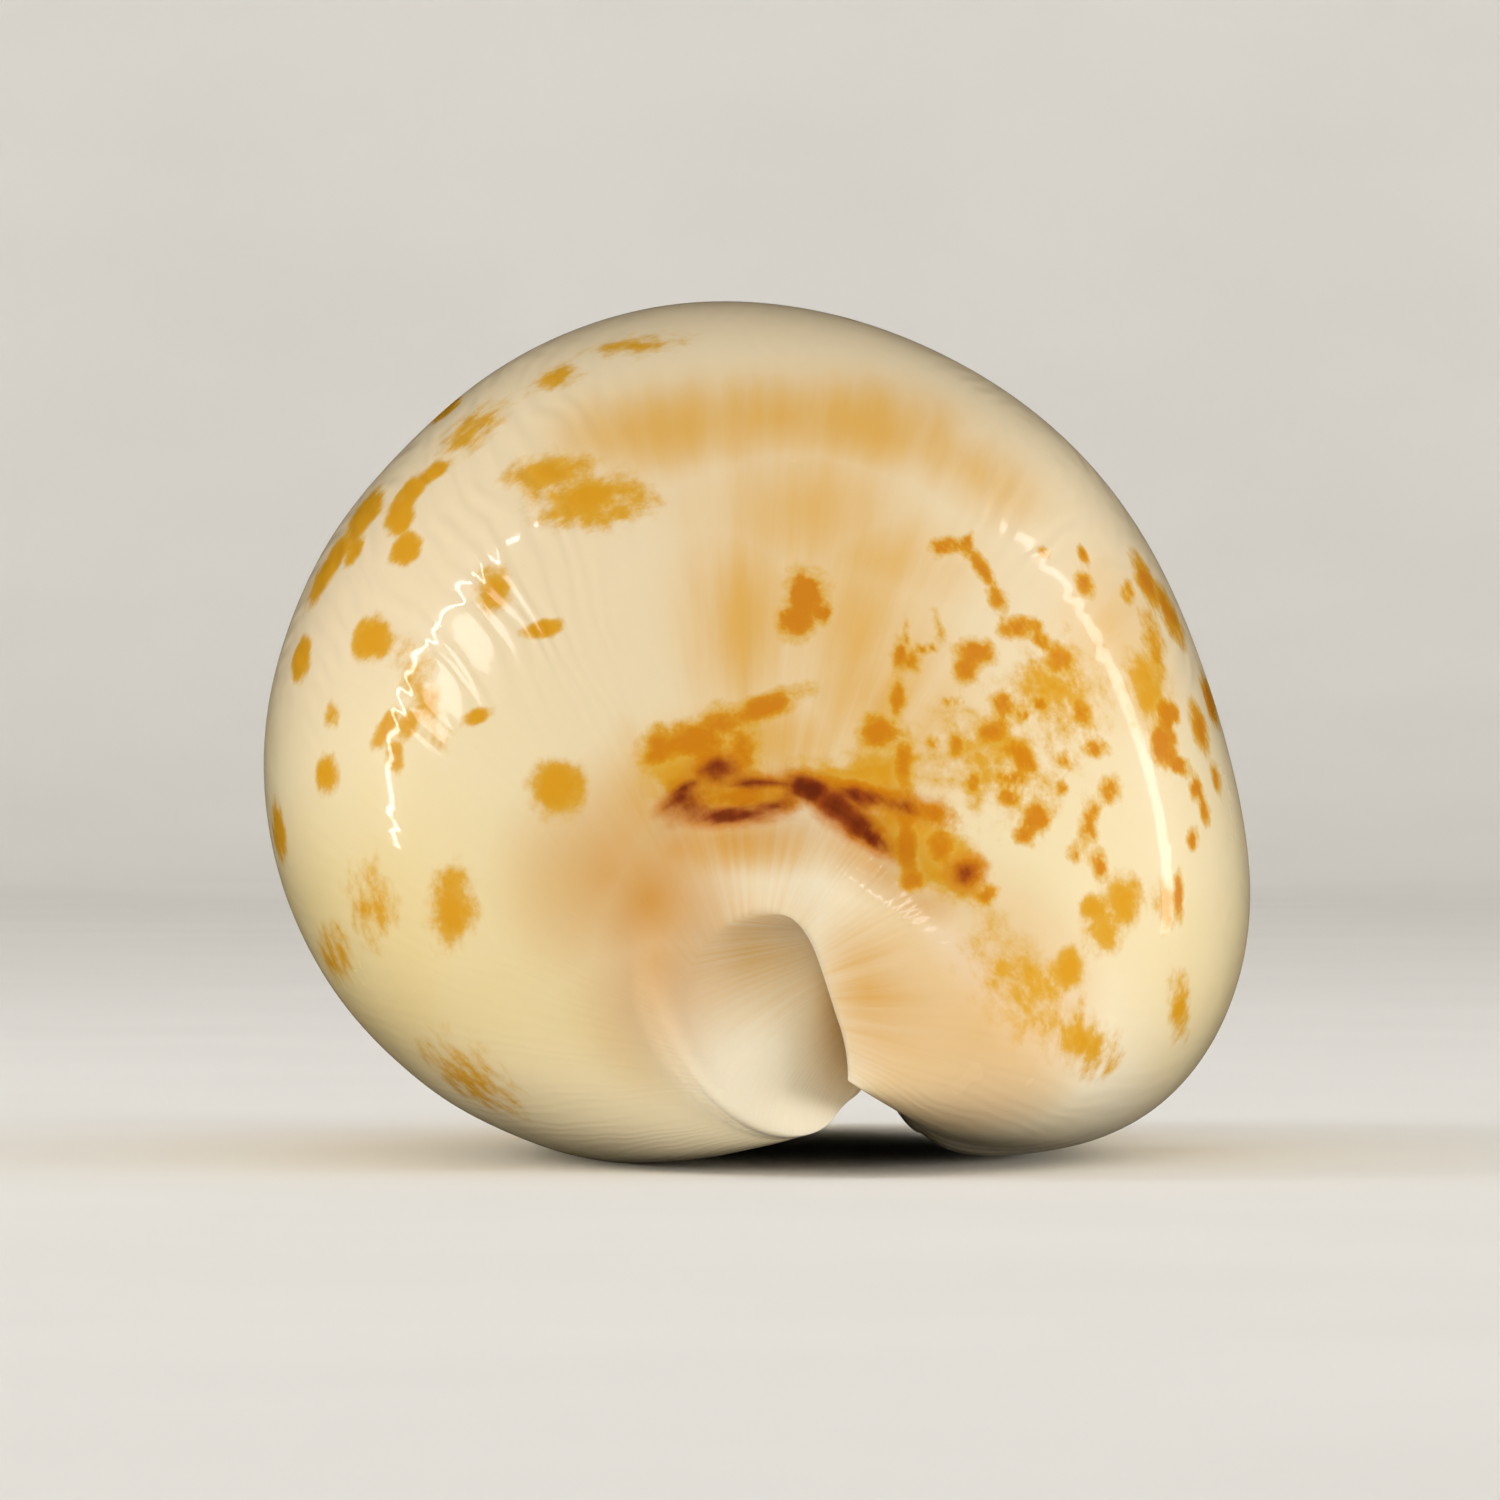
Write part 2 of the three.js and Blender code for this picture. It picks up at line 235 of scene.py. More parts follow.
@dataclass
class ShellForm:
    """The shell's surface as a function of two parameters, in millimetres.

    Sections are swept by an angle from 0 at the spire end to pi at the front end. part runs round the
    outside from 0 at the outer lip, over the top, to 1 at the inner lip.
    """

    widest_y: float = -3.5
    girth: Girth = Girth()
    # The slot's pairs hold a value by the spire end and one past the widest section.
    slot_middle: Span = (3.15, 3.65)
    slot_lift: Span = (1.7, 2.6)
    slot_spread: Span = (1.7, 2.0)
    base_lift: float = 1.4
    base_spread: float = 4.5
    onward_sweep: Span = (1.4, 2.6)
    base_turn: Span = (0.3, 0.8)
    # The teeth: where along the sweep they rise and end, and how far they reach from the slot.
    teeth_spread: float = 2.8
    teeth_turn: Span = (0.6, 0.9)
    teeth_from: Span = (0.85, 1.25)
    teeth_until: Span = (0.35, 0.6)
    lip_round: float = 0.25
    lip_sweep: Span = (0.15, 0.7)
    tooth_pitch: float = 1.62
    tooth_height: float = 0.44
    # The two ends: where they lie, how blunt each dome is, their rims, canals and lobes.
    spire_y: float = -22.4
    front_y: float = 22.6
    spire_blunt: float = 2.2
    right_blunt: float = 0.5
    right_blunt_angle: float = -10.0
    right_blunt_width: float = 60.0
    front_blunt: float = 2.0
    spire_round: float = 0.5
    spire_under_round: float = 0.05
    front_round: float = 0.66
    front_above_round: float = 0.22
    front_under_round: float = 0.16
    spire: Oval = Oval(0.25, 4.75, 2.15, 3.2, -30, 320, lean=-0.33, curl=1.2)
    front: Oval = Oval(1.9, 4.6, 1.5, 2.9, -30, 292, lean=-0.05, curl=0.2)
    spire_canal: Oval = Oval(4.15, 5.3, 0.9, 2.1, -50, 236, turn=0.38)
    front_canal: Oval = Oval(2.6, 4.9, 0.95, 2.0, -52, 236, turn=0.5)
    spire_lobes: tuple[Lobe, ...] = (
        Lobe(236, 62, 2.0, 0.085, 4),
        Lobe(95, 70, 1.0, 0.17, 2),
        Lobe(-32, 75, 1.5, 0.42, 1.7),
    )
    front_lobes: tuple[Lobe, ...] = (
        Lobe(130, 400, 0.5, 0.26, 2),
        Lobe(235, 60, 1.0, 0.26, 2),
        Lobe(-30, 60, 1.0, 0.26, 2),
    )
    # The outer lip's raised fold on the spire face, below a line from one place to another.
    fold_from: Span = (0.0, 11.3)
    fold_to: Span = (10.6, 3.1)
    fold_height: float = 1.45
    fold_softness: float = 0.38
    fold_softening: float = 1.6
    fold_softer_x: Span = (6.0, 12.0)
    fold_end_part: Span = (0.24, 0.46)
    fold_end_x: Span = (8.0, 14.6)
    fold_foot_z: Span = (-2.5, 3.0)
    face_sweep: Span = (0.7, 1.35)
    # The sunken seam above the fold, as places on the spire face.
    seam_points: tuple[Span, ...] = (
        (-3.5, 9.5),
        (-2.7, 10.5),
        (-1.6, 11.1),
        (-0.3, 11.3),
        (1.0, 11.25),
        (2.3, 10.75),
        (3.7, 9.6),
        (5.0, 8.7),
        (6.6, 7.5),
    )
    seam_steps: int = 10
    seam_fades: Span = (0.22, 0.3)
    seam_depth: float = 0.5
    seam_width: float = 0.7
    # The wall, the thick columella, and how the canals open into the hollow.
    wall_top: float = 1.3
    wall_base_extra: float = 2.3
    columella: float = 4.6
    columella_angle: float = 233.0
    columella_width: float = 27.0
    rim_wall: float = 0.5
    rim_wall_sweep: float = 0.13
    backing_angle: float = 25.0
    backing_width: float = 75.0
    backing_depth: float = 0.9
    backing_from: Span = (0.0, 0.07)
    backing_until: Span = (0.3, 0.8)
    inset: float = 0.3
    inset_sweep: Span = (0.5, 1.2)
    opened_from: float = 0.4
    opened_by: Span = (1.15, 1.25)
    deepening_sweep: float = 0.6
    deepening_power: float = 0.8

    def rows(self, count: int) -> Rows:
        """The sweep's rows: pi u + sin(2 pi u) / 8 for u = (2 t + t^2) / 3, so they crowd by the spire end.

        Args:
            count: How many rows, at even t.

        Returns:
            The rows' shared values: y is widest_y minus the end's reach times cos of the sweep.
        """
        t = np.linspace(0.0, 1.0, count)[:, None]
        u = (2.0 * t + t**2) / 3.0
        sweep = math.pi * u + np.sin(2.0 * math.pi * u) / 8.0
        spire = sweep < math.pi / 2
        from_end = np.where(spire, sweep, math.pi - sweep)
        reach = np.where(spire, self.widest_y - self.spire_y, self.front_y - self.widest_y)
        y = self.widest_y - reach * np.cos(sweep)
        wave = 0.5 + 0.5 * np.cos(2.0 * math.pi * (y - self.widest_y) / self.tooth_pitch)
        toothed = ease(*self.teeth_from, sweep) * ease(*self.teeth_until, math.pi - sweep)
        return Rows(sweep, spire, from_end, y, self.tooth_height * toothed * wave)

    def stand_out(self, lobes: tuple[Lobe, ...], angle: Grid, from_end: Grid) -> Grid:
        """The sum of an end's lobes at a place on its rim."""
        return sum(lobe.at(angle, from_end) for lobe in lobes)

    def fold_at(self, part: Grid, x: Grid, z: Grid) -> Grid:
        """How strongly a point lies below the outer lip's fold: 1 / (1 + exp(-depth below the line)).

        Args:
            part: How far round the outside; the fold ends over the roof of the canal.
            x: Points' x on the spire face.
            z: Points' z on the spire face.

        Returns:
            From 0 above the fold to 1 below it, fading out past its two ends.
        """
        run_x, run_z = self.fold_to[0] - self.fold_from[0], self.fold_to[1] - self.fold_from[1]
        across = (x - self.fold_from[0]) * run_z - (z - self.fold_from[1]) * run_x
        softness = self.fold_softness * (1.0 + self.fold_softening * ease(*self.fold_softer_x, x))
        below = 1.0 / (1.0 + np.exp(-across / math.hypot(run_x, run_z) / softness))
        ending = (1.0 - ease(*self.fold_end_part, part)) * (1.0 - ease(*self.fold_end_x, x))
        return below * ending * ease(*self.fold_foot_z, z)

    def seam_at(self, x: Grid, z: Grid) -> Grid:
        """How deep the spire's sunken seam is: a bell across its line, from 0 to 1, fading at its ends."""
        distance, along = nearest_on(smooth_line(self.seam_points, self.seam_steps), x, z)
        first, last = self.seam_fades
        return hill(distance, 0.0, self.seam_width) * ease(0.0, first, along) * ease(0.0, last, 1.0 - along)

    def girth_at(self, rows: Rows, part: Grid) -> Plane:
        """The widest section's point, its base lifted towards the slot by bells of x.

        Each of the slot's pairs is its value by the spire end and its value past the widest section.

        Args:
            rows: The sweep's rows.
            part: How far round the outside.

        Returns:
            The x and z of each place.
        """
        angle = self.girth.angle(part)
        radius = self.girth.radius(angle)
        x = radius * np.cos(angle)
        onward = ease(*self.onward_sweep, rows.sweep)
        pairs = (self.slot_middle, self.slot_lift, self.slot_spread)
        middle, height, spread = (mix(*pair, onward) for pair in pairs)
        broad = self.base_lift * (1.0 - onward) * hill(x, middle, self.base_spread)
        lift = height * hill(x, middle, spread) + broad
        return x, self.girth.z + radius * np.sin(angle) + lift * ease(*self.base_turn, -np.sin(angle))

    def dome_at(self, rows: Rows, part: Grid) -> Grid:
        """How far a section has grown from the end's rim (0) to the girth (1): (1 - |cos sweep|^n)^m.

        Args:
            rows: The sweep's rows.
            part: How far round the outside.

        Returns:
            The growth for each row and part. n and m differ above, below and at the two ends.
        """
        angle = self.girth.angle(part)
        above = np.clip(np.sin(angle), 0.0, None) ** 2
        under = np.clip(-np.sin(angle), 0.0, None) ** 2
        right = hill(np.degrees(angle), self.right_blunt_angle, self.right_blunt_width)
        blunt = np.where(rows.spire, self.spire_blunt + self.right_blunt * right, self.front_blunt)
        spire_round = self.spire_round - self.spire_under_round * under
        front_round = self.front_round + self.front_above_round * above - self.front_under_round * under
        roundness = np.where(rows.spire, spire_round, front_round)
        return np.clip(1.0 - np.abs(np.cos(rows.sweep)) ** blunt, 0.0, 1.0) ** roundness

    def outside(self, rows: Rows, part: Grid) -> Grid:
        """The outside: rim oval to girth by the dome, and along Y the ends' lobes, the fold and the seam.

        Args:
            rows: The sweep's rows.
            part: How far round the outside, one value a column.

        Returns:
            Points of shape (rows, columns, 3).
        """
        girth_x, girth_z = self.girth_at(rows, part)
        spire_angle, front_angle = self.spire.angle(part), self.front.angle(part)
        spire_x, spire_z = self.spire.at(spire_angle)
        front_x, front_z = self.front.at(front_angle)
        dome = self.dome_at(rows, part)
        x = mix(np.where(rows.spire, spire_x, front_x), girth_x, dome)
        z = mix(np.where(rows.spire, spire_z, front_z), girth_z, dome)
        face = 1.0 - ease(*self.face_sweep, rows.sweep)
        raised = (self.fold_height * self.fold_at(part, x, z) - self.seam_depth * self.seam_at(x, z)) * face
        out = np.where(
            rows.spire,
            -self.stand_out(self.spire_lobes, spire_angle, rows.from_end) - raised,
            self.stand_out(self.front_lobes, front_angle, rows.from_end),
        )
        return np.stack(np.broadcast_arrays(x, rows.y + out, z), -1)

    def canal_at(self, rows: Rows, rim: Oval, canal: Oval, part: Grid) -> Plane:
        """Inside an end: the rim's oval becomes the canal's over its turn, as 1 - (1 - t)^2.

        Args:
            rows: The sweep's rows.
            rim: The end's rim.
            canal: The canal a little way inside it.
            part: How far round.

        Returns:
            The x and z of each place.
        """
        turned = 1.0 - (1.0 - np.clip(rows.from_end / canal.turn, 0.0, 1.0)) ** 2
        first, last = mix(rim.first, canal.first, turned), mix(rim.last, canal.last, turned)
        angle = np.radians(mix(first, last, part))
        (from_x, from_z), (to_x, to_z) = rim.at(angle), canal.at(angle)
        grown = np.sin(np.clip(rows.from_end / self.rim_wall_sweep, 0.0, 1.0) * math.pi / 2)
        wall = self.rim_wall * grown * (1.0 - turned)
        x = mix(from_x, to_x, turned) - wall * np.cos(angle)
        return x, mix(from_z, to_z, turned) - wall * np.sin(angle)

    def inside(self, rows: Rows, part: Grid) -> Grid:
        """The inside: the canal near each end, and between them the outside moved in by the wall.

        Args:
            rows: The sweep's rows.
            part: How far round the outside.

        Returns:
            Points of shape (rows, columns, 3).
        """
        outer = self.outside(rows, part)
        spire_x, spire_z = self.canal_at(rows, self.spire, self.spire_canal, part)
        front_x, front_z = self.canal_at(rows, self.front, self.front_canal, part)
        angle = self.girth.angle(part)
        low = (1.0 - np.sin(angle)) / 2.0
        wall = self.wall_top + self.wall_base_extra * low**3
        wall = wall + self.columella * hill(np.degrees(angle), self.columella_angle, self.columella_width)
        opened = ease(self.opened_from, np.where(rows.spire, *self.opened_by), rows.from_end)
        inwards = np.where(rows.spire, 1.0, -1.0)
        inset = inwards * self.inset * (1.0 - ease(*self.inset_sweep, rows.from_end))
        fading = 1.0 - ease(*self.backing_until, rows.from_end)
        behind = ease(*self.backing_from, rows.from_end) * fading * rows.spire
        backing = hill(np.degrees(self.spire.angle(part)), self.backing_angle, self.backing_width)
        rim_y = np.where(rows.spire, outer[:1, :, 1], outer[-1:, :, 1])
        deep = ease(0.0, self.deepening_sweep, rows.from_end) ** self.deepening_power
        y = mix(rim_y, rows.y + inset, deep) + self.backing_depth * backing * behind
        x = mix(np.where(rows.spire, spire_x, front_x), outer[..., 0] - wall * np.cos(angle), opened)
        z = mix(np.where(rows.spire, spire_z, front_z), outer[..., 2] - wall * np.sin(angle), opened)
        return np.stack(np.broadcast_arrays(x, y, z), -1)

    def toothed_outside(self, rows: Rows, part: Grid) -> Grid:
        """The outside with its teeth: ridges lowered by the tooth height times a bell from the slot's edge.

        Args:
            rows: The sweep's rows.
            part: How far round the outside.

        Returns:
            Points of shape (rows, columns, 3).
        """
        points = self.outside(rows, part)
        edges = self.outside(rows, np.array([[0.0, 1.0]]))[..., 0]
        right = part < 0.5
        edge = np.where(right, edges[:, :1], edges[:, 1:])
        beside = hill(points[..., 0] - edge, 0.0, self.teeth_spread)
        under = ease(*self.teeth_turn, -np.sin(self.girth.angle(part)))
        points[..., 2] -= rows.tooth * beside * under
        return points

    def lip(self, rows: Rows, side: int, turn: Grid) -> Grid:
        """A lip's rounded edge: half an ellipse from the outside to the inside, bulging by each tooth.

        Args:
            rows: The sweep's rows.
            side: 1 for the inner lip on the left, -1 for the outer lip on the right.
            turn: Angles round the edge, from 0 on the outside to pi on the inside.

        Returns:
            Points of shape (rows, turns, 3).
        """
        part = np.array([[1.0 if side > 0 else 0.0]])
        start, stop = self.outside(rows, part), self.inside(rows, part)
        points = (start + stop) / 2 + (start - stop) / 2 * np.cos(turn)[None, :, None]
        bulge = self.lip_round * ease(*self.lip_sweep, rows.from_end) + rows.tooth
        points[..., 0] += side * bulge * np.sin(turn)
        points[..., 2] -= rows.tooth * np.clip(np.cos(turn), 0.0, None)
        return points


@dataclass
class GrowthRelief:
    """Low waves of the shell's growth, across and along its growth lines, as a height in millimetres."""

    height: float = 0.022
    waves: int = 7
    across_first: float = 7.0
    across_step: float = 5.0
    along_step: float = 1.3
    along_range: Span = (0.5, 2.0)
    wander: float = 0.35
    wander_share: float = 0.3
    fading: float = 0.5
    lip_margin: float = 0.06
    end_sweep: Span = (0.15, 0.6)
    seed: int = 11

    def at(self, rows: Rows, part: Grid) -> Grid:
        """A sum of cosines of the part and the sweep with seeded phases, fading at the lips and rims.

        Args:
            rows: The sweep's rows.
            part: How far round the outside.

        Returns:
            The height at each row and part.
        """
        draw = np.random.default_rng(self.seed)
        height = np.zeros(np.broadcast_shapes(rows.sweep.shape, part.shape))
        for wave in range(self.waves):
            across = self.across_first + self.across_step * wave
            along = self.along_step * draw.uniform(*self.along_range)
            phase = draw.uniform(0.0, 2.0 * math.pi)
            drift = self.wander * np.sin(along * rows.sweep + draw.uniform(0.0, 2.0 * math.pi))
            turned = across * part * math.pi + drift * across * self.wander_share + phase
            height = height + np.cos(turned) / (1.0 + self.fading * wave)
        edge = ease(0.0, self.lip_margin, part) * ease(0.0, self.lip_margin, 1.0 - part)
        return self.height * height * edge * ease(*self.end_sweep, rows.from_end)


class MarkKind(Enum):
    """The ways that the glaze is marked, each kept in a mesh attribute of its own."""

    CRISP = "mark_crisp"
    SOFT = "mark_soft"
    STAIN = "mark_stain"
    RUST = "mark_rust"
    UMBER = "mark_umber"


@dataclass(frozen=True)
class Mark:
    """One blotch, at its place in the photograph's pixels, with half its width and height in pixels.

    tilt turns it anticlockwise in degrees, strength is its depth of colour, and hollow pales its middle.
    """

    px: float
    py: float
    half_wide: float
    half_high: float
    tilt: float = 0.0
    strength: float = 1.0
    hollow: float = 0.0


LEFT_SPOTS = (
    Mark(434, 470, 17, 10, 35, 0.95),
    Mark(411, 490, 20, 14, 50, 1.0),
    Mark(399, 515, 17, 26, -12, 1.0),
    Mark(404, 549, 21, 18, 35, 1.0, 0.15),
    Mark(364, 515, 12, 36, -33, 1.0),
    Mark(352, 552, 9, 17, -20, 0.8),
    Mark(446, 410, 8, 22, -52, 0.9),
    Mark(330, 566, 9, 50, -31, 1.0),
    Mark(370, 639, 22, 27, -8, 1.0, 0.25),
    Mark(299, 659, 11, 27, -8, 1.0),
    Mark(383, 731, 9, 25, -28, 0.95),
    Mark(408, 724, 11, 15, 0, 0.7),
    Mark(394, 757, 10, 18, 10, 0.75),
    Mark(477, 716, 18, 9, 16, 0.85),
    Mark(541, 629, 24, 10, 8, 0.85),
    Mark(555, 790, 30, 32, 0, 0.85),
    Mark(326, 774, 13, 22, 0, 0.75),
    Mark(587, 497, 38, 13, 3, 0.95),
)
LEFT_VEILS = (
    Mark(491, 588, 20, 26, 0, 0.6),
    Mark(330, 715, 8, 11, 0, 0.35),
    Mark(452, 905, 22, 40, -8, 0.55),
    Mark(370, 905, 20, 34, 0, 0.3),
    Mark(333, 955, 18, 38, -30, 0.3),
    Mark(278, 830, 7, 34, 8, 0.8),
    Mark(470, 1080, 45, 20, -25, 0.2),
    Mark(549, 474, 46, 20, 5, 0.55),
    Mark(590, 500, 60, 26, 3, 0.5),
    Mark(555, 378, 26, 10, 20, 0.35),
    Mark(636, 345, 40, 8, 6, 0.3),
    Mark(420, 690, 12, 40, 20, 0.2),
    Mark(470, 430, 14, 34, -50, 0.3),
)
CROWN_SPOTS = (
    Mark(806, 594, 21, 27, 0, 1.0),
    Mark(796, 622, 20, 19, 30, 1.0),
    Mark(823, 612, 8, 14, 0, 0.9),
    Mark(902, 655, 8, 18, 0, 0.75),
    Mark(912, 660, 9, 13, 0, 0.75),
    Mark(922, 648, 14, 4, 0, 0.6),
    Mark(906, 634, 3, 12, 0, 0.6),
)
SEAM_SPOTS = (
    Mark(762, 708, 44, 13, 20, 1.0),
    Mark(722, 722, 22, 17, 0, 0.95),
    Mark(690, 742, 40, 19, 12, 1.0),
    Mark(657, 747, 17, 21, 0, 0.8),
    Mark(708, 764, 22, 22, 0, 0.95),
    Mark(743, 750, 14, 26, 0, 0.55),
    Mark(878, 735, 24, 19, 0, 0.85),
    Mark(897, 700, 7, 24, 0, 0.7),
    Mark(904, 766, 11, 32, 0, 0.85),
    Mark(860, 790, 66, 10, -12, 1.0),
    Mark(925, 812, 34, 11, -10, 0.95),
    Mark(908, 848, 11, 38, 6, 0.9),
    Mark(940, 846, 15, 20, 0, 0.95),
    Mark(966, 873, 17, 16, 20, 1.0),
    Mark(988, 893, 10, 9, 0, 0.8),
    Mark(912, 880, 12, 14, 0, 0.8),
    Mark(738, 797, 52, 10, 2, 0.95),
    Mark(864, 824, 34, 15, -38, 0.9),
)
RIGHT_SPOTS = (
    Mark(946, 547, 16, 10, 12, 0.9),
    Mark(968, 541, 14, 5, 50, 0.75),
    Mark(984, 570, 7, 22, 32, 0.85),
    Mark(998, 598, 9, 14, 20, 0.85),
    Mark(1016, 627, 17, 11, 15, 1.0),
    Mark(1036, 626, 9, 6, 0, 0.7),
    Mark(1059, 659, 15, 17, 0, 0.95),
    Mark(1043, 643, 12, 5, -30, 0.7),
    Mark(977, 652, 24, 13, -10, 1.0),
    Mark(968, 668, 13, 17, -30, 0.9),
    Mark(1086, 583, 9, 15, 15, 1.0),
    Mark(1084, 555, 4, 10, 20, 0.85),
    Mark(1045, 552, 8, 5, -30, 0.8),
    Mark(1004, 703, 12, 12, 0, 0.9),
    Mark(992, 731, 18, 14, 20, 0.9),
    Mark(1025, 759, 13, 24, 25, 0.95),
    Mark(1015, 778, 20, 9, -10, 0.9),
    Mark(1012, 750, 12, 9, 0, 0.6),
    Mark(1041, 704, 11, 7, 0, 0.9),
    Mark(1025, 716, 7, 5, 0, 0.7),
    Mark(954, 701, 10, 4, 0, 0.65),
    Mark(933, 742, 8, 7, 0, 0.8),
    Mark(957, 744, 7, 15, 0, 0.75),
    Mark(974, 781, 7, 9, 0, 0.85),
    Mark(1064, 760, 7, 9, 0, 0.75),
    Mark(1096, 748, 12, 9, 0, 0.6),
    Mark(1063, 786, 6, 7, 0, 0.7),
    Mark(1081, 712, 9, 15, 0, 0.5),
    Mark(1008, 797, 14, 9, 0, 0.85),
    Mark(1037, 816, 14, 18, -20, 0.9),
    Mark(1025, 834, 10, 9, 0, 0.8),
    Mark(1112, 790, 9, 12, 0, 0.5),
    Mark(1090, 822, 8, 20, -15, 0.6),
    Mark(1100, 866, 8, 15, 0, 0.7),
    Mark(1074, 851, 6, 9, 0, 0.5),
    Mark(940, 626, 4, 14, 20, 0.5),
    Mark(1129, 592, 7, 10, 0, 0.65),
    Mark(1148, 583, 8, 34, 24, 1.0),
    Mark(1170, 613, 8, 34, 24, 1.0),
    Mark(1155, 640, 8, 26, 10, 0.6),
    Mark(1170, 712, 17, 15, 0, 1.0),
    Mark(1164, 742, 13, 28, 0, 1.0),
    Mark(1181, 765, 16, 9, -20, 1.0),
    Mark(1200, 727, 8, 28, 16, 1.0),
    Mark(1211, 700, 7, 28, 14, 0.95),
    Mark(1197, 789, 8, 12, 0, 0.85),
    Mark(1206, 810, 5, 14, 12, 0.8),
    Mark(1194, 838, 6, 11, 0, 0.75),
    Mark(1218, 780, 4, 16, 8, 0.75),
    Mark(1180, 896, 5, 25, 0, 0.95),
)
RIGHT_VEILS = (
    Mark(1150, 690, 20, 44, 10, 0.5),
    Mark(1060, 690, 46, 40, 0, 0.25),
    Mark(1000, 760, 60, 44, 0, 0.25),
    Mark(1124, 900, 24, 26, 0, 0.55),
    Mark(1094, 908, 17, 14, 0, 0.5),
    Mark(1104, 930, 20, 22, 0, 0.4),
    Mark(1166, 905, 12, 24, 0, 0.4),
    Mark(1069, 970, 17, 24, 0, 0.75),
    Mark(1180, 1007, 10, 36, 4, 0.45),
    Mark(1025, 985, 30, 62, 40, 0.3),
    Mark(1085, 1042, 22, 44, 55, 0.3),
    Mark(828, 1063, 26, 14, 10, 0.4),
    Mark(880, 772, 44, 34, 0, 0.6),
    Mark(905, 830, 44, 34, -30, 0.75),
    Mark(945, 865, 50, 30, -38, 0.75),
    Mark(700, 765, 60, 34, 8, 0.75),
    Mark(755, 790, 70, 22, 0, 0.75),
    Mark(842, 790, 60, 26, -14, 0.8),
)
STAINS = (
    Mark(690, 428, 120, 42, 4, 0.7),
    Mark(780, 418, 110, 40, 0, 0.72),
    Mark(868, 424, 110, 44, -10, 0.72),
    Mark(975, 470, 70, 34, -35, 0.55),
    Mark(800, 510, 90, 60, 0, 0.45),
    Mark(740, 620, 56, 100, 0, 0.6),
    Mark(860, 640, 60, 110, 0, 0.4),
    Mark(760, 740, 90, 46, 0, 0.85),
    Mark(880, 760, 46, 60, 0, 0.7),
    Mark(720, 800, 60, 22, 0, 0.8),
    Mark(880, 560, 70, 40, 0, 0.35),
    Mark(1120, 640, 40, 60, 20, 0.3),
    Mark(640, 800, 36, 60, 0, 0.5),
    Mark(880, 705, 80, 90, 0, 0.6),
    Mark(745, 850, 90, 26, 0, 0.55),
    Mark(868, 985, 40, 70, 15, 0.45),
    Mark(752, 950, 60, 60, 0, 0.4),
    Mark(820, 1075, 44, 24, 10, 0.55),
)
RUSTS = (
    Mark(650, 900, 60, 70, -10, 0.8),
    Mark(606, 875, 60, 60, 0, 0.45),
    Mark(655, 960, 40, 66, 0, 0.4),
    Mark(676, 850, 60, 30, 30, 0.45),
    Mark(730, 838, 62, 16, 2, 0.4),
    Mark(880, 870, 46, 16, -36, 0.4),
    Mark(985, 1020, 50, 50, 0, 0.1),
    Mark(925, 905, 30, 16, -20, 0.35),
)
UMBERS = (
    Mark(730, 815, 50, 10, 4, 0.9),
    Mark(690, 806, 20, 9, 24, 0.45),
    Mark(770, 806, 30, 8, 8, 0.55),
    Mark(810, 790, 30, 15, -16, 1.0),
    Mark(838, 808, 34, 17, -34, 1.0),
    Mark(872, 838, 26, 10, -42, 0.8),
    Mark(856, 822, 30, 16, -38, 0.9),
    Mark(858, 796, 40, 10, -10, 0.75),
    Mark(716, 768, 24, 13, 10, 0.75),
    Mark(682, 793, 26, 8, 40, 0.7),
    Mark(760, 783, 50, 7, 0, 0.65),
    Mark(905, 806, 30, 9, -14, 0.4),
    Mark(966, 874, 16, 13, 20, 0.6),
)

PLACED_MARKS: dict[MarkKind, tuple[Mark, ...]] = {
    MarkKind.CRISP: CROWN_SPOTS + SEAM_SPOTS + RIGHT_SPOTS,
    MarkKind.SOFT: LEFT_SPOTS + LEFT_VEILS + RIGHT_VEILS,
    MarkKind.STAIN: STAINS,
    MarkKind.RUST: RUSTS,
    MarkKind.UMBER: UMBERS,
}


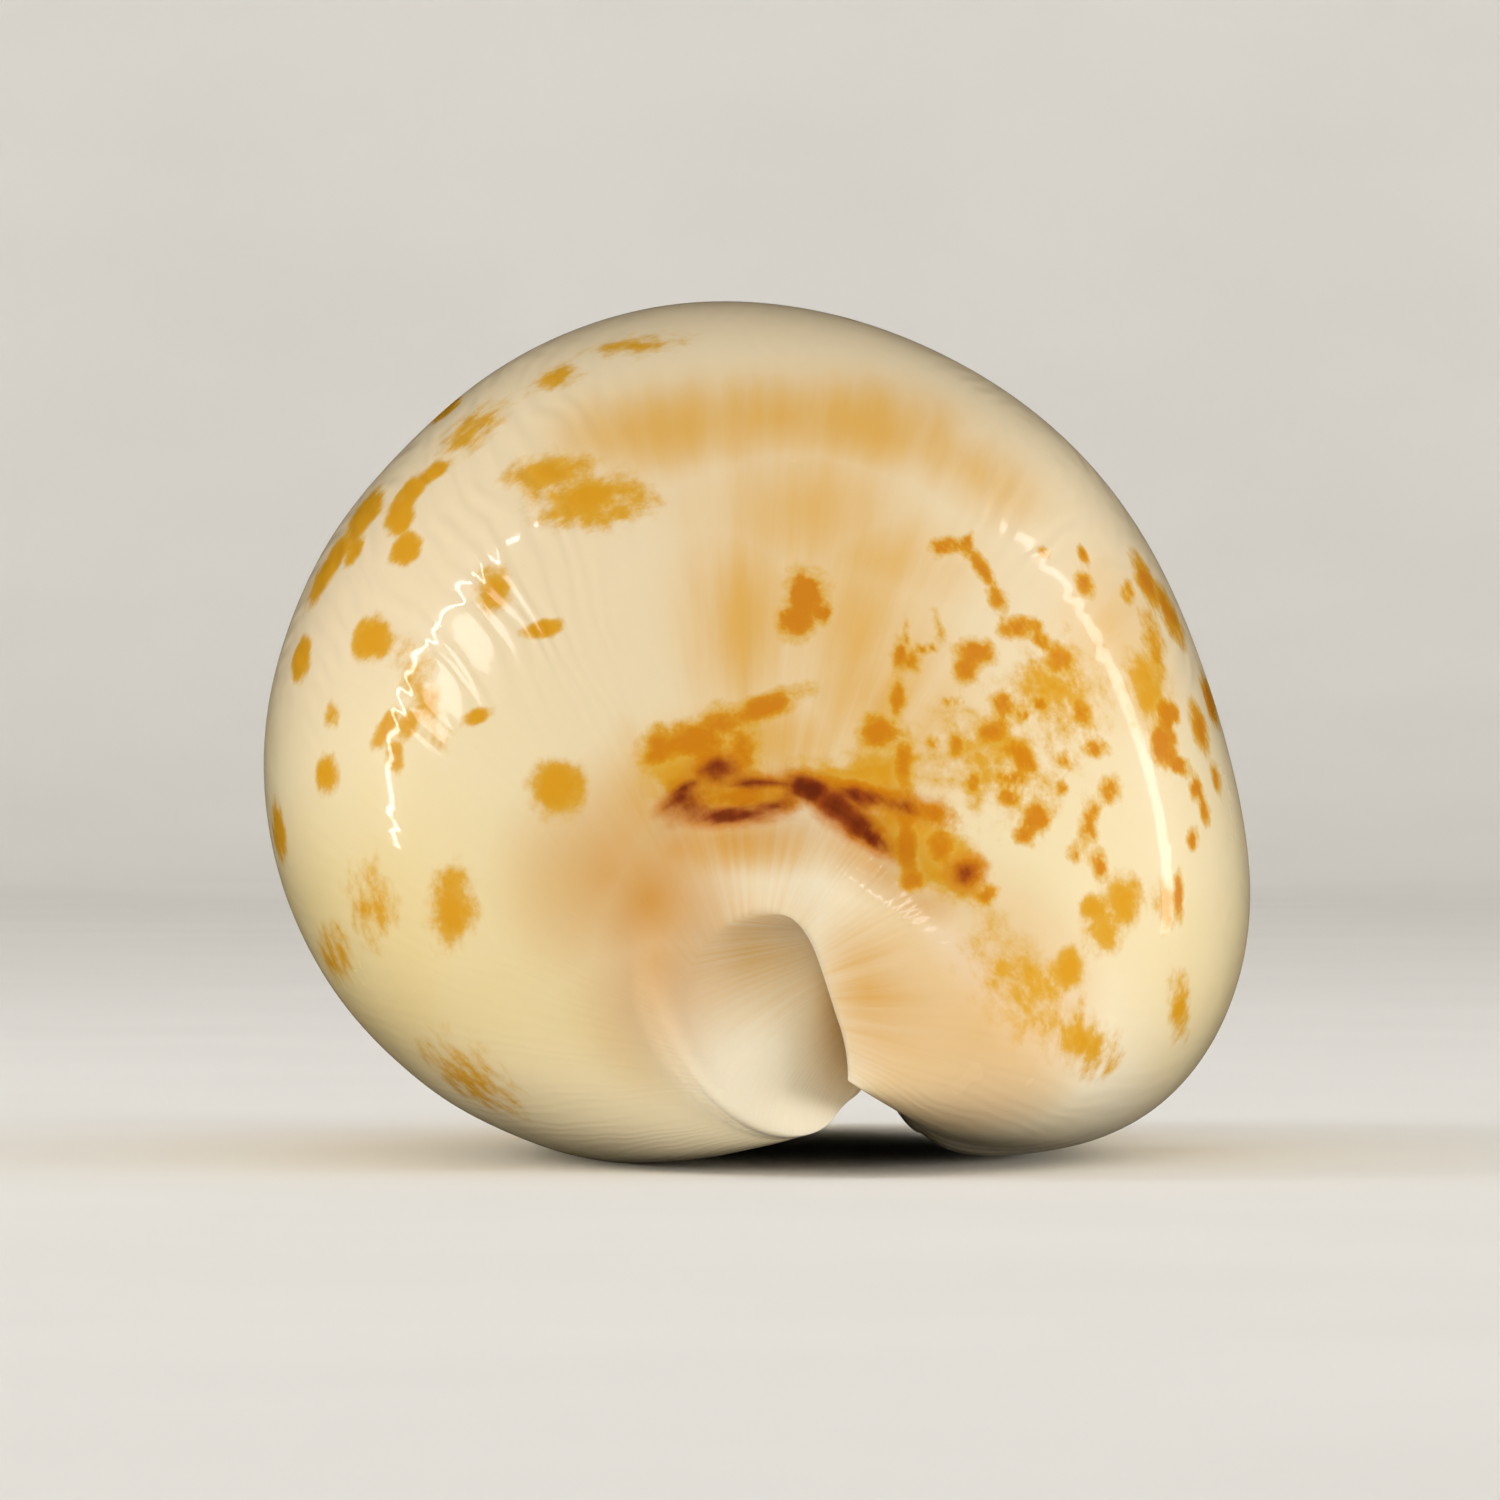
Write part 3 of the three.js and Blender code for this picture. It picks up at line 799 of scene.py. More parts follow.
@dataclass
class Markings:
    """The blotches of the glaze, as one smooth field for each kind.

    The side that the photograph shows has its marks listed one by one. The rest has marks of the same
    kind, drawn at random: round ones on the sides and a loose network of small ones on the back.
    """

    reach: float = 2.4
    least_reach_mm: float = 1.1
    hollow_spread: float = 0.15
    side_marks: int = 30
    side_places: Span = (0.27, 0.4)
    side_sizes_mm: Span = (0.7, 1.3)
    back_marks: int = 190
    back_places: Span = (0.0, 0.26)
    back_sizes_mm: Span = (0.22, 0.75)
    row_places: Span = (0.44, 0.93)
    stretches: tuple[Span, ...] = ((0.7, 1.3), (0.7, 1.5), (0.7, 1.3))
    strengths: Span = (0.55, 1.0)
    behind: Span = (0.42, 0.5)
    seed: int = 5

    def seen(self, points: Grid, form: ShellForm) -> Plane:
        """Where points show in the photograph: their distances from its axis times D / (D + y - widest y).

        Args:
            points: Points of the surface before it is fitted to the frame, in millimetres.
            form: The shell's form.

        Returns:
            Their pixel coordinates, across and down.
        """
        axis_x = (PHOTO_CENTRE_PX[0] - PHOTO_ZERO_PX[0]) * PIXEL_MM
        axis_z = (PHOTO_ZERO_PX[1] - PHOTO_CENTRE_PX[1]) * PIXEL_MM
        scale = CAMERA_DISTANCE_MM / (CAMERA_DISTANCE_MM + points[..., 1] - form.widest_y)
        across = axis_x + (points[..., 0] - axis_x) * scale
        up = axis_z + (points[..., 2] - axis_z) * scale
        return PHOTO_ZERO_PX[0] + across / PIXEL_MM, PHOTO_ZERO_PX[1] - up / PIXEL_MM

    def placed(self, kind: MarkKind, points: Grid, px: Grid, py: Grid, shown: Grid) -> Grid:
        """The strongest of the placed marks of a kind: strength (1 - q), q the distance in half sizes.

        The field also falls with the fourth power of the true distance, so that no mark runs on behind
        the outline.

        Args:
            kind: Which marks.
            points: The surface's points, in millimetres.
            px: The points' places across the photograph.
            py: The points' places down it.
            shown: True where the photograph shows the point.

        Returns:
            The field, from -1 far from every mark to 1 in the middle of a strong one.
        """
        field_now = np.full(px.shape, -1.0)
        for mark in PLACED_MARKS[kind]:
            gap = np.where(shown, np.hypot(px - mark.px, py - mark.py), np.inf)
            middle = points.reshape(-1, 3)[np.argmin(gap)]
            tilt = math.radians(mark.tilt)
            right, up = px - mark.px, mark.py - py
            along = (right * math.cos(tilt) + up * math.sin(tilt)) / mark.half_wide
            across = (up * math.cos(tilt) - right * math.sin(tilt)) / mark.half_high
            largest = max(mark.half_wide, mark.half_high) * PIXEL_MM
            far = np.linalg.norm(points - middle, axis=-1) / max(self.reach * largest, self.least_reach_mm)
            square = along**2 + across**2
            value = mark.strength * (1.0 - np.sqrt(square) - far**4)
            value = value - mark.hollow * np.exp(-square / self.hollow_spread)
            field_now = np.maximum(field_now, value)
        return field_now

    def scattered(self, points: Grid, rows: Rows) -> dict[MarkKind, Grid]:
        """Random marks past the widest section: their field is 1 - (distance / size)^2 in space.

        Args:
            points: The outside's points, in millimetres.
            rows: The sweep's rows.

        Returns:
            The fields for crisp and soft marks.
        """
        draw = np.random.default_rng(self.seed)
        shape = row_count, column_count = points.shape[:2]
        fields = {kind: np.full(shape, -1.0) for kind in (MarkKind.CRISP, MarkKind.SOFT)}
        for kind, count, places, sizes in (
            (MarkKind.SOFT, self.side_marks, self.side_places, self.side_sizes_mm),
            (MarkKind.CRISP, self.back_marks, self.back_places, self.back_sizes_mm),
        ):
            for _ in range(count):
                side = draw.choice([-1.0, 1.0])
                place = 0.5 + side * draw.uniform(*places)
                row = int(mix(*self.row_places, draw.uniform()) * row_count)
                column = int(np.clip(place, 0.0, 1.0) * (column_count - 1))
                size = draw.uniform(*sizes)
                stretch = np.array([draw.uniform(*stretch_range) for stretch_range in self.stretches])
                distance = np.linalg.norm((points - points[row, column]) / (size * stretch), axis=-1)
                value = draw.uniform(*self.strengths) * (1.0 - distance**2)
                fields[kind] = np.maximum(fields[kind], value)
        behind = ease(*self.behind, rows.sweep / math.pi)
        return {kind: mix(-1.0, value, behind) for kind, value in fields.items()}


@dataclass(frozen=True)
class Colour:
    """A colour of the shell as seen in daylight, in display values from 0 to 255."""

    red: float
    green: float
    blue: float

    def linear(self) -> tuple[float, float, float, float]:
        """The colour for a shader: s / 12.92 when dark, else ((s + 0.055) / 1.055)^2.4, with full alpha."""
        shares = (self.red / 255.0, self.green / 255.0, self.blue / 255.0)
        return (*(s / 12.92 if s <= 0.04045 else ((s + 0.055) / 1.055) ** 2.4 for s in shares), 1.0)


class Graph:
    """A material's nodes, added and joined by short calls."""

    def __init__(self, material: bpy.types.Material) -> None:
        """Starts on a material's own node tree, with nothing in it.

        Args:
            material: The material to fill.
        """
        material.use_nodes = True
        self.tree = material.node_tree
        self.tree.nodes.clear()

    def add(self, kind: str, **settings: object) -> bpy.types.Node:
        """Adds a node.

        Args:
            kind: The node's type name.
            settings: Its properties.

        Returns:
            The node.
        """
        node = self.tree.nodes.new(kind)
        for name, value in settings.items():
            setattr(node, name, value)
        return node

    def feed(self, socket: Socket, value: object) -> None:
        """Sets an input socket to a plain value, or links it to an output socket."""
        if isinstance(value, Socket):
            self.tree.links.new(value, socket)
        else:
            socket.default_value = value

    def field(self, name: str) -> Socket:
        """The value of a mesh attribute."""
        return self.add("ShaderNodeAttribute", attribute_name=name).outputs["Fac"]

    def sum(self, first: object, second: object, kind: str = "ADD") -> Socket:
        """Two values joined by one operation.

        Args:
            first: A value or socket.
            second: A value or socket.
            kind: The operation's name.

        Returns:
            The result's socket.
        """
        node = self.add("ShaderNodeMath", operation=kind)
        self.feed(node.inputs[0], first)
        self.feed(node.inputs[1], second)
        return node.outputs[0]

    def ramp(self, value: object, low: float, high: float, to: float = 1.0) -> Socket:
        """A smooth step of value from low to high, rising from 0 to the last argument.

        Args:
            value: The value or socket.
            low: Where the step starts.
            high: Where it is full.
            to: What it rises to.

        Returns:
            The result's socket.
        """
        node = self.add("ShaderNodeMapRange", interpolation_type="SMOOTHSTEP")
        for name, number in (("From Min", low), ("From Max", high), ("To Min", 0.0), ("To Max", to)):
            node.inputs[name].default_value = number
        self.feed(node.inputs["Value"], value)
        return node.outputs["Result"]

    def noise(self, vector: object, scale: float, detail: float = 3.0, roughness: float = 0.55) -> Socket:
        """Smooth noise about 0.5 of a position.

        Args:
            vector: The position's socket.
            scale: Waves to a unit of the position.
            detail: How many finer layers.
            roughness: How strong the finer layers are.

        Returns:
            The noise's socket.
        """
        node = self.add("ShaderNodeTexNoise")
        self.feed(node.inputs["Vector"], vector)
        node.inputs["Scale"].default_value = scale
        node.inputs["Detail"].default_value = detail
        node.inputs["Roughness"].default_value = roughness
        return node.outputs["Fac"]

    def about_half(self, noise: object, strength: float) -> Socket:
        """Noise moved to lie about zero and multiplied by a strength."""
        return self.sum(self.sum(noise, 0.5, "SUBTRACT"), strength, "MULTIPLY")

    def scaled(self, vector: object, scale: tuple[float, float, float]) -> Socket:
        """A position stretched along its axes by a Mapping node."""
        node = self.add("ShaderNodeMapping")
        self.feed(node.inputs["Vector"], vector)
        node.inputs["Scale"].default_value = scale
        return node.outputs["Vector"]

    def blend(self, under: object, over: object, amount: object) -> Socket:
        """One colour laid over another by an amount.

        Args:
            under: The colour or socket below.
            over: The colour or socket on top.
            amount: How much of the upper one shows.

        Returns:
            The blended colour's socket.
        """
        node = self.add("ShaderNodeMix", data_type="RGBA")
        self.feed(node.inputs["Factor"], amount)
        self.feed(node.inputs[6], under)
        self.feed(node.inputs[7], over)
        return node.outputs[2]


@dataclass(frozen=True)
class ShellGlaze:
    """The shell's finish: a clear gloss over cream enamel, with blotches at several depths in it."""

    cream: Colour = Colour(228, 211, 171)
    honey_cream: Colour = Colour(224, 203, 148)
    rose_cream: Colour = Colour(227, 208, 173)
    # Pale enamel at the rims; the same pale also paints a highlight along the fold's crest and painted
    # light on the underside.
    enamel_and_painted_light: Colour = Colour(234, 223, 198)
    ochre: Colour = Colour(210, 150, 28)
    amber: Colour = Colour(200, 121, 6)
    honey: Colour = Colour(212, 164, 62)
    stain: Colour = Colour(216, 170, 90)
    rust: Colour = Colour(203, 144, 54)
    umber: Colour = Colour(104, 32, 6)
    plum: Colour = Colour(160, 70, 18)
    # How many waves of each noise there are to a metre, or to the shell's growth from end to end.
    cloud_waves: float = 90.0
    fleck_waves: float = 3600.0
    ragged_waves: float = 1300.0
    streak_waves: tuple[float, float, float] = (70.0, 5.0, 5.0)
    drift_waves: tuple[float, float, float] = (26.0, 7.0, 7.0)
    line_waves: tuple[float, float, float] = (700.0, 14.0, 14.0)
    grain_waves: float = 600.0
    dull_waves: float = 250.0
    # How far noise moves the warm tone and the edges of each kind of mark.
    cloudiness: float = 0.9
    soft_edge: float = 1.1
    crisp_edge: float = 1.5
    fleck_edge: float = 0.5
    seam_edge: float = 0.6
    dullness: float = 0.08
    seam_wear: float = 0.12
    # The gloss over the enamel, and the light that enters it.
    roughness: float = 0.2
    gloss: float = 0.52
    coat_roughness: float = 0.045
    gloss_ior: float = 1.5
    under_gloss: float = 0.12
    aragonite_ior: float = 1.53
    translucency: float = 0.16
    translucency_mm: float = 1.2
    translucency_spread: tuple[float, float, float] = (1.0, 0.62, 0.34)
    # The fine relief.
    ripple_mm: float = 0.014
    ripples: float = 112.0
    ripple_drift: float = 26.0
    line_mm: float = 0.002
    grain_mm: float = 0.004

    def colour(self, graph: Graph, place: Socket, growth: Socket) -> Socket:
        """The enamel and its marks, laid over each other from the deepest to the topmost.

        Args:
            graph: The material's nodes.
            place: The position in metres.
            growth: The position along the growth lines.

        Returns:
            The colour's socket.
        """
        cloud = graph.noise(place, self.cloud_waves)
        fleck = graph.noise(place, self.fleck_waves, roughness=0.6)
        ragged = graph.noise(place, self.ragged_waves, 4.0, 0.6)
        streak = graph.noise(graph.scaled(growth, self.streak_waves), 1.0, 4.0)
        warm = graph.sum(graph.field("warm"), graph.about_half(cloud, self.cloudiness))
        base = graph.blend(self.rose_cream.linear(), self.cream.linear(), graph.ramp(warm, 0.0, 0.5))
        base = graph.blend(base, self.honey_cream.linear(), graph.ramp(warm, 0.45, 1.1))
        # Pale enamel at the rims, a painted highlight along the fold's crest, and painted light on the
        # underside, paler towards the bottom.
        base = graph.blend(base, self.enamel_and_painted_light.linear(), graph.field("enamel_and_painted_light"))

        veined = graph.sum(graph.sum(streak, 0.35, "ADD"), graph.sum(cloud, 0.5, "ADD"), "MULTIPLY")
        stain = graph.sum(graph.ramp(graph.field(MarkKind.STAIN.value), -0.9, 1.0), veined, "MULTIPLY")
        base = graph.blend(base, self.stain.linear(), graph.ramp(stain, 0.05, 0.95))
        rusty = graph.ramp(graph.field(MarkKind.RUST.value), -0.9, 1.0, 0.95)
        base = graph.blend(base, self.rust.linear(), rusty)

        wander = graph.about_half(ragged, self.soft_edge)
        soft = graph.ramp(graph.sum(graph.field(MarkKind.SOFT.value), wander), -0.45, 0.85, 0.95)
        base = graph.blend(base, self.honey.linear(), graph.ramp(soft, 0.05, 0.55))
        base = graph.blend(base, self.ochre.linear(), graph.ramp(soft, 0.3, 0.8, 0.96))

        jagged = graph.about_half(ragged, self.crisp_edge)
        speck = graph.about_half(fleck, self.fleck_edge)
        crisp = graph.sum(graph.field(MarkKind.CRISP.value), graph.sum(jagged, speck))
        base = graph.blend(base, self.honey.linear(), graph.ramp(crisp, -0.45, 0.1, 0.75))
        deep = graph.ramp(graph.sum(crisp, cloud), 0.5, 1.2)
        shade = graph.blend(self.ochre.linear(), self.amber.linear(), deep)
        base = graph.blend(base, shade, graph.ramp(crisp, -0.05, 0.3, 0.92))

        ragged_seam = graph.sum(jagged, self.seam_edge, "MULTIPLY")
        dark = graph.sum(graph.field(MarkKind.UMBER.value), ragged_seam)
        darkest = graph.ramp(graph.sum(dark, streak), 0.5, 1.4)
        brown = graph.blend(self.plum.linear(), self.umber.linear(), darkest)
        base = graph.blend(base, self.amber.linear(), graph.ramp(dark, -0.7, 0.1, 0.7))
        return graph.blend(base, brown, graph.ramp(dark, -0.15, 0.5, 0.97))

    def relief(self, graph: Graph, place: Socket, growth: Socket) -> Socket:
        """The fine relief: ripples across the growth lines where they are strong, and a faint grain.

        Args:
            graph: The material's nodes.
            place: The position in metres.
            growth: The position along the growth lines.

        Returns:
            The bent normal's socket.
        """
        drift = graph.noise(graph.scaled(growth, self.drift_waves), 1.0, 2.0, 0.5)
        across = graph.add("ShaderNodeSeparateXYZ")
        graph.feed(across.inputs[0], growth)
        phase = graph.sum(
            graph.sum(across.outputs[0], 2.0 * math.pi * self.ripples, "MULTIPLY"),
            graph.sum(drift, self.ripple_drift, "MULTIPLY"),
        )
        ripple = graph.sum(phase, 0.0, "SINE")
        lines = graph.noise(graph.scaled(growth, self.line_waves), 1.0)
        grain = graph.noise(place, self.grain_waves)
        normal = graph.add("ShaderNodeBump").outputs["Normal"]
        heights = (
            (graph.sum(ripple, graph.field("ripple"), "MULTIPLY"), self.ripple_mm),
            (lines, self.line_mm),
            (grain, self.grain_mm),
        )
        for step, (height, depth) in enumerate(heights):
            bump = normal.node if step == 0 else graph.add("ShaderNodeBump")
            bump.inputs["Strength"].default_value = 1.0
            bump.inputs["Distance"].default_value = depth * MM
            graph.feed(bump.inputs["Height"], height)
            if step:
                graph.feed(bump.inputs["Normal"], normal)
            normal = bump.outputs["Normal"]
        return normal

    def material(self, name: str) -> bpy.types.Material:
        """Makes the finish as a material.

        Args:
            name: The material's name.

        Returns:
            The material.
        """
        material = bpy.data.materials.new(name)
        graph = Graph(material)
        place = graph.add("ShaderNodeTexCoord").outputs["Object"]
        growth = graph.add("ShaderNodeAttribute", attribute_name="growth").outputs["Vector"]
        shader = graph.add("ShaderNodeBsdfPrincipled")
        graph.feed(shader.inputs["Base Color"], self.colour(graph, place, growth))
        dull = graph.ramp(graph.noise(place, self.dull_waves), 0.3, 0.8, self.dullness)
        worn = graph.ramp(graph.field(MarkKind.UMBER.value), -0.5, 0.6, self.seam_wear)
        graph.feed(shader.inputs["Roughness"], graph.sum(graph.sum(dull, worn), self.roughness))
        normal = self.relief(graph, place, growth)
        graph.feed(shader.inputs["Normal"], normal)
        graph.feed(shader.inputs["Coat Normal"], normal)
        for socket, value in (
            ("IOR", self.aragonite_ior),
            ("Specular IOR Level", self.under_gloss),
            ("Coat Weight", self.gloss),
            ("Coat Roughness", self.coat_roughness),
            ("Coat IOR", self.gloss_ior),
            ("Subsurface Weight", self.translucency),
            ("Subsurface Radius", self.translucency_spread),
            ("Subsurface Scale", self.translucency_mm * MM),
        ):
            shader.inputs[socket].default_value = value
        output = graph.add("ShaderNodeOutputMaterial")
        graph.feed(output.inputs["Surface"], shader.outputs["BSDF"])
        return material


@dataclass
class CowrieShell:
    """The shell: one closed mesh, its marks as attributes, and its glaze."""

    form: ShellForm = field(default_factory=ShellForm)
    growth_relief: GrowthRelief = field(default_factory=GrowthRelief)
    markings: Markings = field(default_factory=Markings)
    glaze: ShellGlaze = ShellGlaze()
    row_count: int = 236
    steps: int = 300
    inner_stride: int = 5
    fine_rows: int = 8
    lip_steps: int = 20
    evening: float = 0.25
    rest_flat: float = 0.14
    # Where along the growth from end to end the photograph's marks stop and the random ones start.
    shown_until: float = 0.48
    marks_fade: Span = (0.46, 0.52)
    inside_fade: Span = (0.3, 0.6)
    # Where the enamel is stained, warm or pale, in parts of the surface or in millimetres; the pale also
    # paints a highlight along the fold's crest and painted light on the underside.
    crown_width: float = 0.2
    crown_places: Span = (0.42, 0.56)
    crown_stain: float = 1.7
    warm_z: Span = (19.0, 5.0)
    warm_x: Span = (2.0, -7.0)
    least_warm: float = 0.55
    rim_spreads: Span = (0.16, 0.2)
    rim_enamel: float = 0.95
    # Painted highlight: a pale line along the fold's crest.
    painted_crest_x: Span = (3.5, 6.0)
    painted_crest_highlight: float = 0.85
    # Painted light: the underside is made paler towards the bottom, in place of the light it lacks.
    painted_light_under_z: Span = (5.0, 1.0)
    painted_underside_light_share: float = 0.55
    # Where the ripples are strong: high on the left, and a little on the right.
    ripple_z: Span = (12.0, 16.0)
    left_ripple_x: Span = (-2.0, -7.0)
    right_ripple_x: Span = (4.0, 8.0)
    right_ripple: float = 0.4
    ripple_from: Span = (0.3, 0.6)
    ripple_until: Span = (1.5, 2.4)
    least_ripple: float = 0.16

    def parts(self, steps: int) -> Grid:
        """Evenly spaced parts moved a little towards the broad side: part blended with its square."""
        part = np.linspace(0.0, 1.0, steps + 1)[None, :]
        return mix(part, part**2, self.evening)

    def raised(self, rows: Rows, part: Grid) -> Grid:
        """The toothed outside moved along its normals by the growth relief.

        Args:
            rows: The sweep's rows.
            part: How far round the outside.

        Returns:
            Points of shape (rows, columns, 3).
        """
        points = self.form.toothed_outside(rows, part)
        normal = np.cross(np.gradient(points, axis=0), np.gradient(points, axis=1))
        normal /= np.maximum(np.linalg.norm(normal, axis=-1, keepdims=True), 1e-9)
        return points + normal * self.growth_relief.at(rows, part)[..., None]

    def loops(self, rows: Rows) -> Grid:
        """Every section's closed loop: outside, inner lip, inside backwards, outer lip backwards.

        Args:
            rows: The sweep's rows.

        Returns:
            Points of shape (rows, columns round the loop, 3).
        """
        turn = np.linspace(0.0, math.pi, self.lip_steps + 1)[1:-1]
        outer = self.raised(rows, self.parts(self.steps))
        inner = self.form.inside(rows, self.parts(self.steps))
        left, right = self.form.lip(rows, 1, turn), self.form.lip(rows, -1, turn)
        return np.concatenate([outer, left, inner[:, ::-1], right[:, ::-1]], axis=1)

    def rim_columns(self) -> Grid:
        """On an end row the loop is closed: each inside column becomes the outside one that it meets."""
        outward = np.arange(self.steps + 1)
        left, right = np.full(self.lip_steps - 1, self.steps), np.zeros(self.lip_steps - 1, int)
        return np.concatenate([outward, left, outward[::-1], right])

    def coarse_columns(self, columns: int) -> Grid:
        """Past the rims the hidden inside keeps every few columns: the others become the nearest kept one.

        Args:
            columns: How many points a loop has.

        Returns:
            The column that each column becomes.
        """
        kept = np.arange(columns)
        first = self.steps + self.lip_steps
        inner = np.arange(self.steps + 1)
        nearest = self.inner_stride * np.rint(inner / self.inner_stride)
        kept[first : first + self.steps + 1] = first + nearest
        return kept

    def triangles(self, row_count: int, columns: int) -> Grid:
        """Two triangles between each four neighbours, less those that merged columns leave without area.

        Args:
            row_count: How many loops.
            columns: How many points each has.

        Returns:
            Vertex numbers of shape (triangles, 3), with faces outwards and none without area.
        """
        number = np.arange(row_count * columns).reshape(row_count, columns)
        number[0] = number[0, self.rim_columns()]
        number[-1] = number[-1, self.rim_columns()]
        hidden = slice(self.fine_rows, row_count - self.fine_rows)
        number[hidden] = number[hidden][:, self.coarse_columns(columns)]
        here, above = number[:-1], number[1:]
        following, beyond = np.roll(here, -1, 1), np.roll(above, -1, 1)
        halves = [np.stack([here, above, beyond], -1), np.stack([here, beyond, following], -1)]
        faces = np.concatenate(halves).reshape(-1, 3)
        flat = (faces[:, 0] == faces[:, 1]) | (faces[:, 1] == faces[:, 2]) | (faces[:, 2] == faces[:, 0])
        return faces[~flat]

    def fitted(self, points: Grid) -> tuple[Grid, Vector, Vector]:
        """Stands the points on the floor and fits their box to the frame's: a scale and shift by axis.

        Args:
            points: All points, in millimetres.

        Returns:
            The points in metres, and the scale and shift that take a place there from millimetres.
        """
        low, high = points.min(axis=0), points.max(axis=0)
        low[2] += self.rest_flat
        box_low, box_high = (np.array(corner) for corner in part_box("shell"))
        scale = (box_high - box_low) / (high - low)
        shift = box_low - low * scale
        placed = points * scale + shift
        placed[:, 2] = np.maximum(placed[:, 2], box_low[2])
        return placed, Vector(scale), Vector(shift)

    def attributes(self, loops: Grid, rows: Rows) -> dict[str, Grid]:
        """Every value that the glaze reads, one for each point of the loops.

        Args:
            loops: The loops' points, in millimetres.
            rows: The sweep's rows.

        Returns:
            The values by attribute name.
        """
        px, py = self.markings.seen(loops, self.form)
        columns = loops.shape[1]
        outer = self.steps + 1
        part = np.full((1, columns), 0.5)
        part[:, :outer] = self.parts(self.steps)
        on_outside = np.zeros((1, columns), bool)
        on_outside[:, :outer] = True
        x, z = loops[..., 0], loops[..., 2]
        along = rows.sweep / math.pi
        shown = on_outside & (rows.sweep < self.shown_until * math.pi)
        fade = 1.0 - ease(*self.marks_fade, along)
        scattered = self.markings.scattered(loops[:, :outer], rows)
        found: dict[str, Grid] = {}
        for kind in MarkKind:
            value = self.markings.placed(kind, loops, px, py, shown)
            within = 1.0 - ease(*self.inside_fade, rows.sweep)
            value = mix(-1.0, value, fade * np.where(on_outside, 1.0, within))
            if kind in scattered:
                value[:, :outer] = np.maximum(value[:, :outer], scattered[kind])
            found[kind.value] = value
        crown = hill(part, 0.5, self.crown_width) * ease(*self.crown_places, along) * on_outside
        crown_stain = self.crown_stain * crown - 1.0
        found[MarkKind.STAIN.value] = np.maximum(found[MarkKind.STAIN.value], crown_stain)
        found["warm"] = ease(*self.warm_z, z) * mix(self.least_warm, 1.0, ease(*self.warm_x, x))
        rim = hill(rows.sweep, 0.0, self.rim_spreads[0]) + hill(rows.sweep, math.pi, self.rim_spreads[1])
        # Painted light: paler towards the bottom, lifting the shade of the underside.
        painted_underside_light = ease(*self.painted_light_under_z, z) * self.painted_underside_light_share
        # Painted highlight: a pale line along the fold's crest, where light glints on the ridge.
        fold = self.form.fold_at(part, x, z) * on_outside * rows.spire
        painted_crest = 4.0 * fold * (1.0 - fold) * ease(*self.painted_crest_x, x) * self.painted_crest_highlight
        # The rims' pale enamel joined with the painted crest highlight and the painted underside light.
        strongest = np.maximum(np.maximum(self.rim_enamel * rim, painted_crest), painted_underside_light)
        found["enamel_and_painted_light"] = np.clip(strongest, 0.0, 1.0)
        sides = ease(*self.left_ripple_x, x) + self.right_ripple * ease(*self.right_ripple_x, x)
        lengthwise = ease(*self.ripple_from, rows.sweep) * (1.0 - ease(*self.ripple_until, rows.sweep))
        rippled = ease(*self.ripple_z, z) * sides * lengthwise
        found["ripple"] = mix(self.least_ripple, 1.0, rippled)
        return {name: np.broadcast_to(value, px.shape) for name, value in found.items()}

    def build(self) -> tuple[bpy.types.Object, Vector, Vector]:
        """Makes the shell's mesh with its attributes.

        Returns:
            The object, and the scale and shift that take a place from millimetres to the frame.
        """
        rows = self.form.rows(self.row_count)
        loops = self.loops(rows)
        row_count, columns = loops.shape[:2]
        faces = self.triangles(row_count, columns)
        values = self.attributes(loops, rows)
        outward, edge = self.parts(self.steps), np.ones((1, self.lip_steps - 1))
        part = np.concatenate([outward, edge, outward[:, ::-1], 0.0 * edge], axis=1)
        growth = np.stack(np.broadcast_arrays(part, rows.sweep / math.pi, np.zeros(1)), -1)
        points, scale, shift = self.fitted(loops.reshape(-1, 3))

        used, faces = np.unique(faces, return_inverse=True)
        faces = faces.reshape(-1, 3)
        mesh = bpy.data.meshes.new("cowrie_shell")
        mesh.vertices.add(len(used))
        mesh.vertices.foreach_set("co", points[used].astype(np.float32).ravel())
        mesh.loops.add(faces.size)
        mesh.loops.foreach_set("vertex_index", faces.astype(np.int32).ravel())
        mesh.polygons.add(len(faces))
        mesh.polygons.foreach_set("loop_start", np.arange(0, faces.size, 3, dtype=np.int32))
        mesh.polygons.foreach_set("use_smooth", np.ones(len(faces), bool))
        mesh.update(calc_edges=True)
        for name, value in values.items():
            attribute = mesh.attributes.new(name, "FLOAT", "POINT")
            attribute.data.foreach_set("value", value.reshape(-1)[used].astype(np.float32))
        attribute = mesh.attributes.new("growth", "FLOAT_VECTOR", "POINT")
        attribute.data.foreach_set("vector", growth.reshape(-1, 3)[used].astype(np.float32).ravel())
        shell = bpy.data.objects.new("cowrie_shell", mesh)
        bpy.context.scene.collection.objects.link(shell)
        log.info("shell: %d points, %d triangles", len(used), len(faces))
        return shell, scale, shift

    def dress(self, shell: bpy.types.Object) -> None:
        """Gives the shell its glaze, ties it to the frame's root body and hides the CAD node that it stands
        in for.
        """
        shell.data.materials.append(self.glaze.material("shell_glaze"))
        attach(shell, "root")
        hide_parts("shell")


@dataclass(frozen=True)
class Lamp:
    """One rectangular soft light: its place and size in metres and its power in watts.

    A mirrored one shows in the glaze. A level one faces the middle's axis at its own height.
    """

    name: str
    place: tuple[float, float, float]
    size: tuple[float, float]
    power: float
    mirrored: bool = False
    level: bool = False


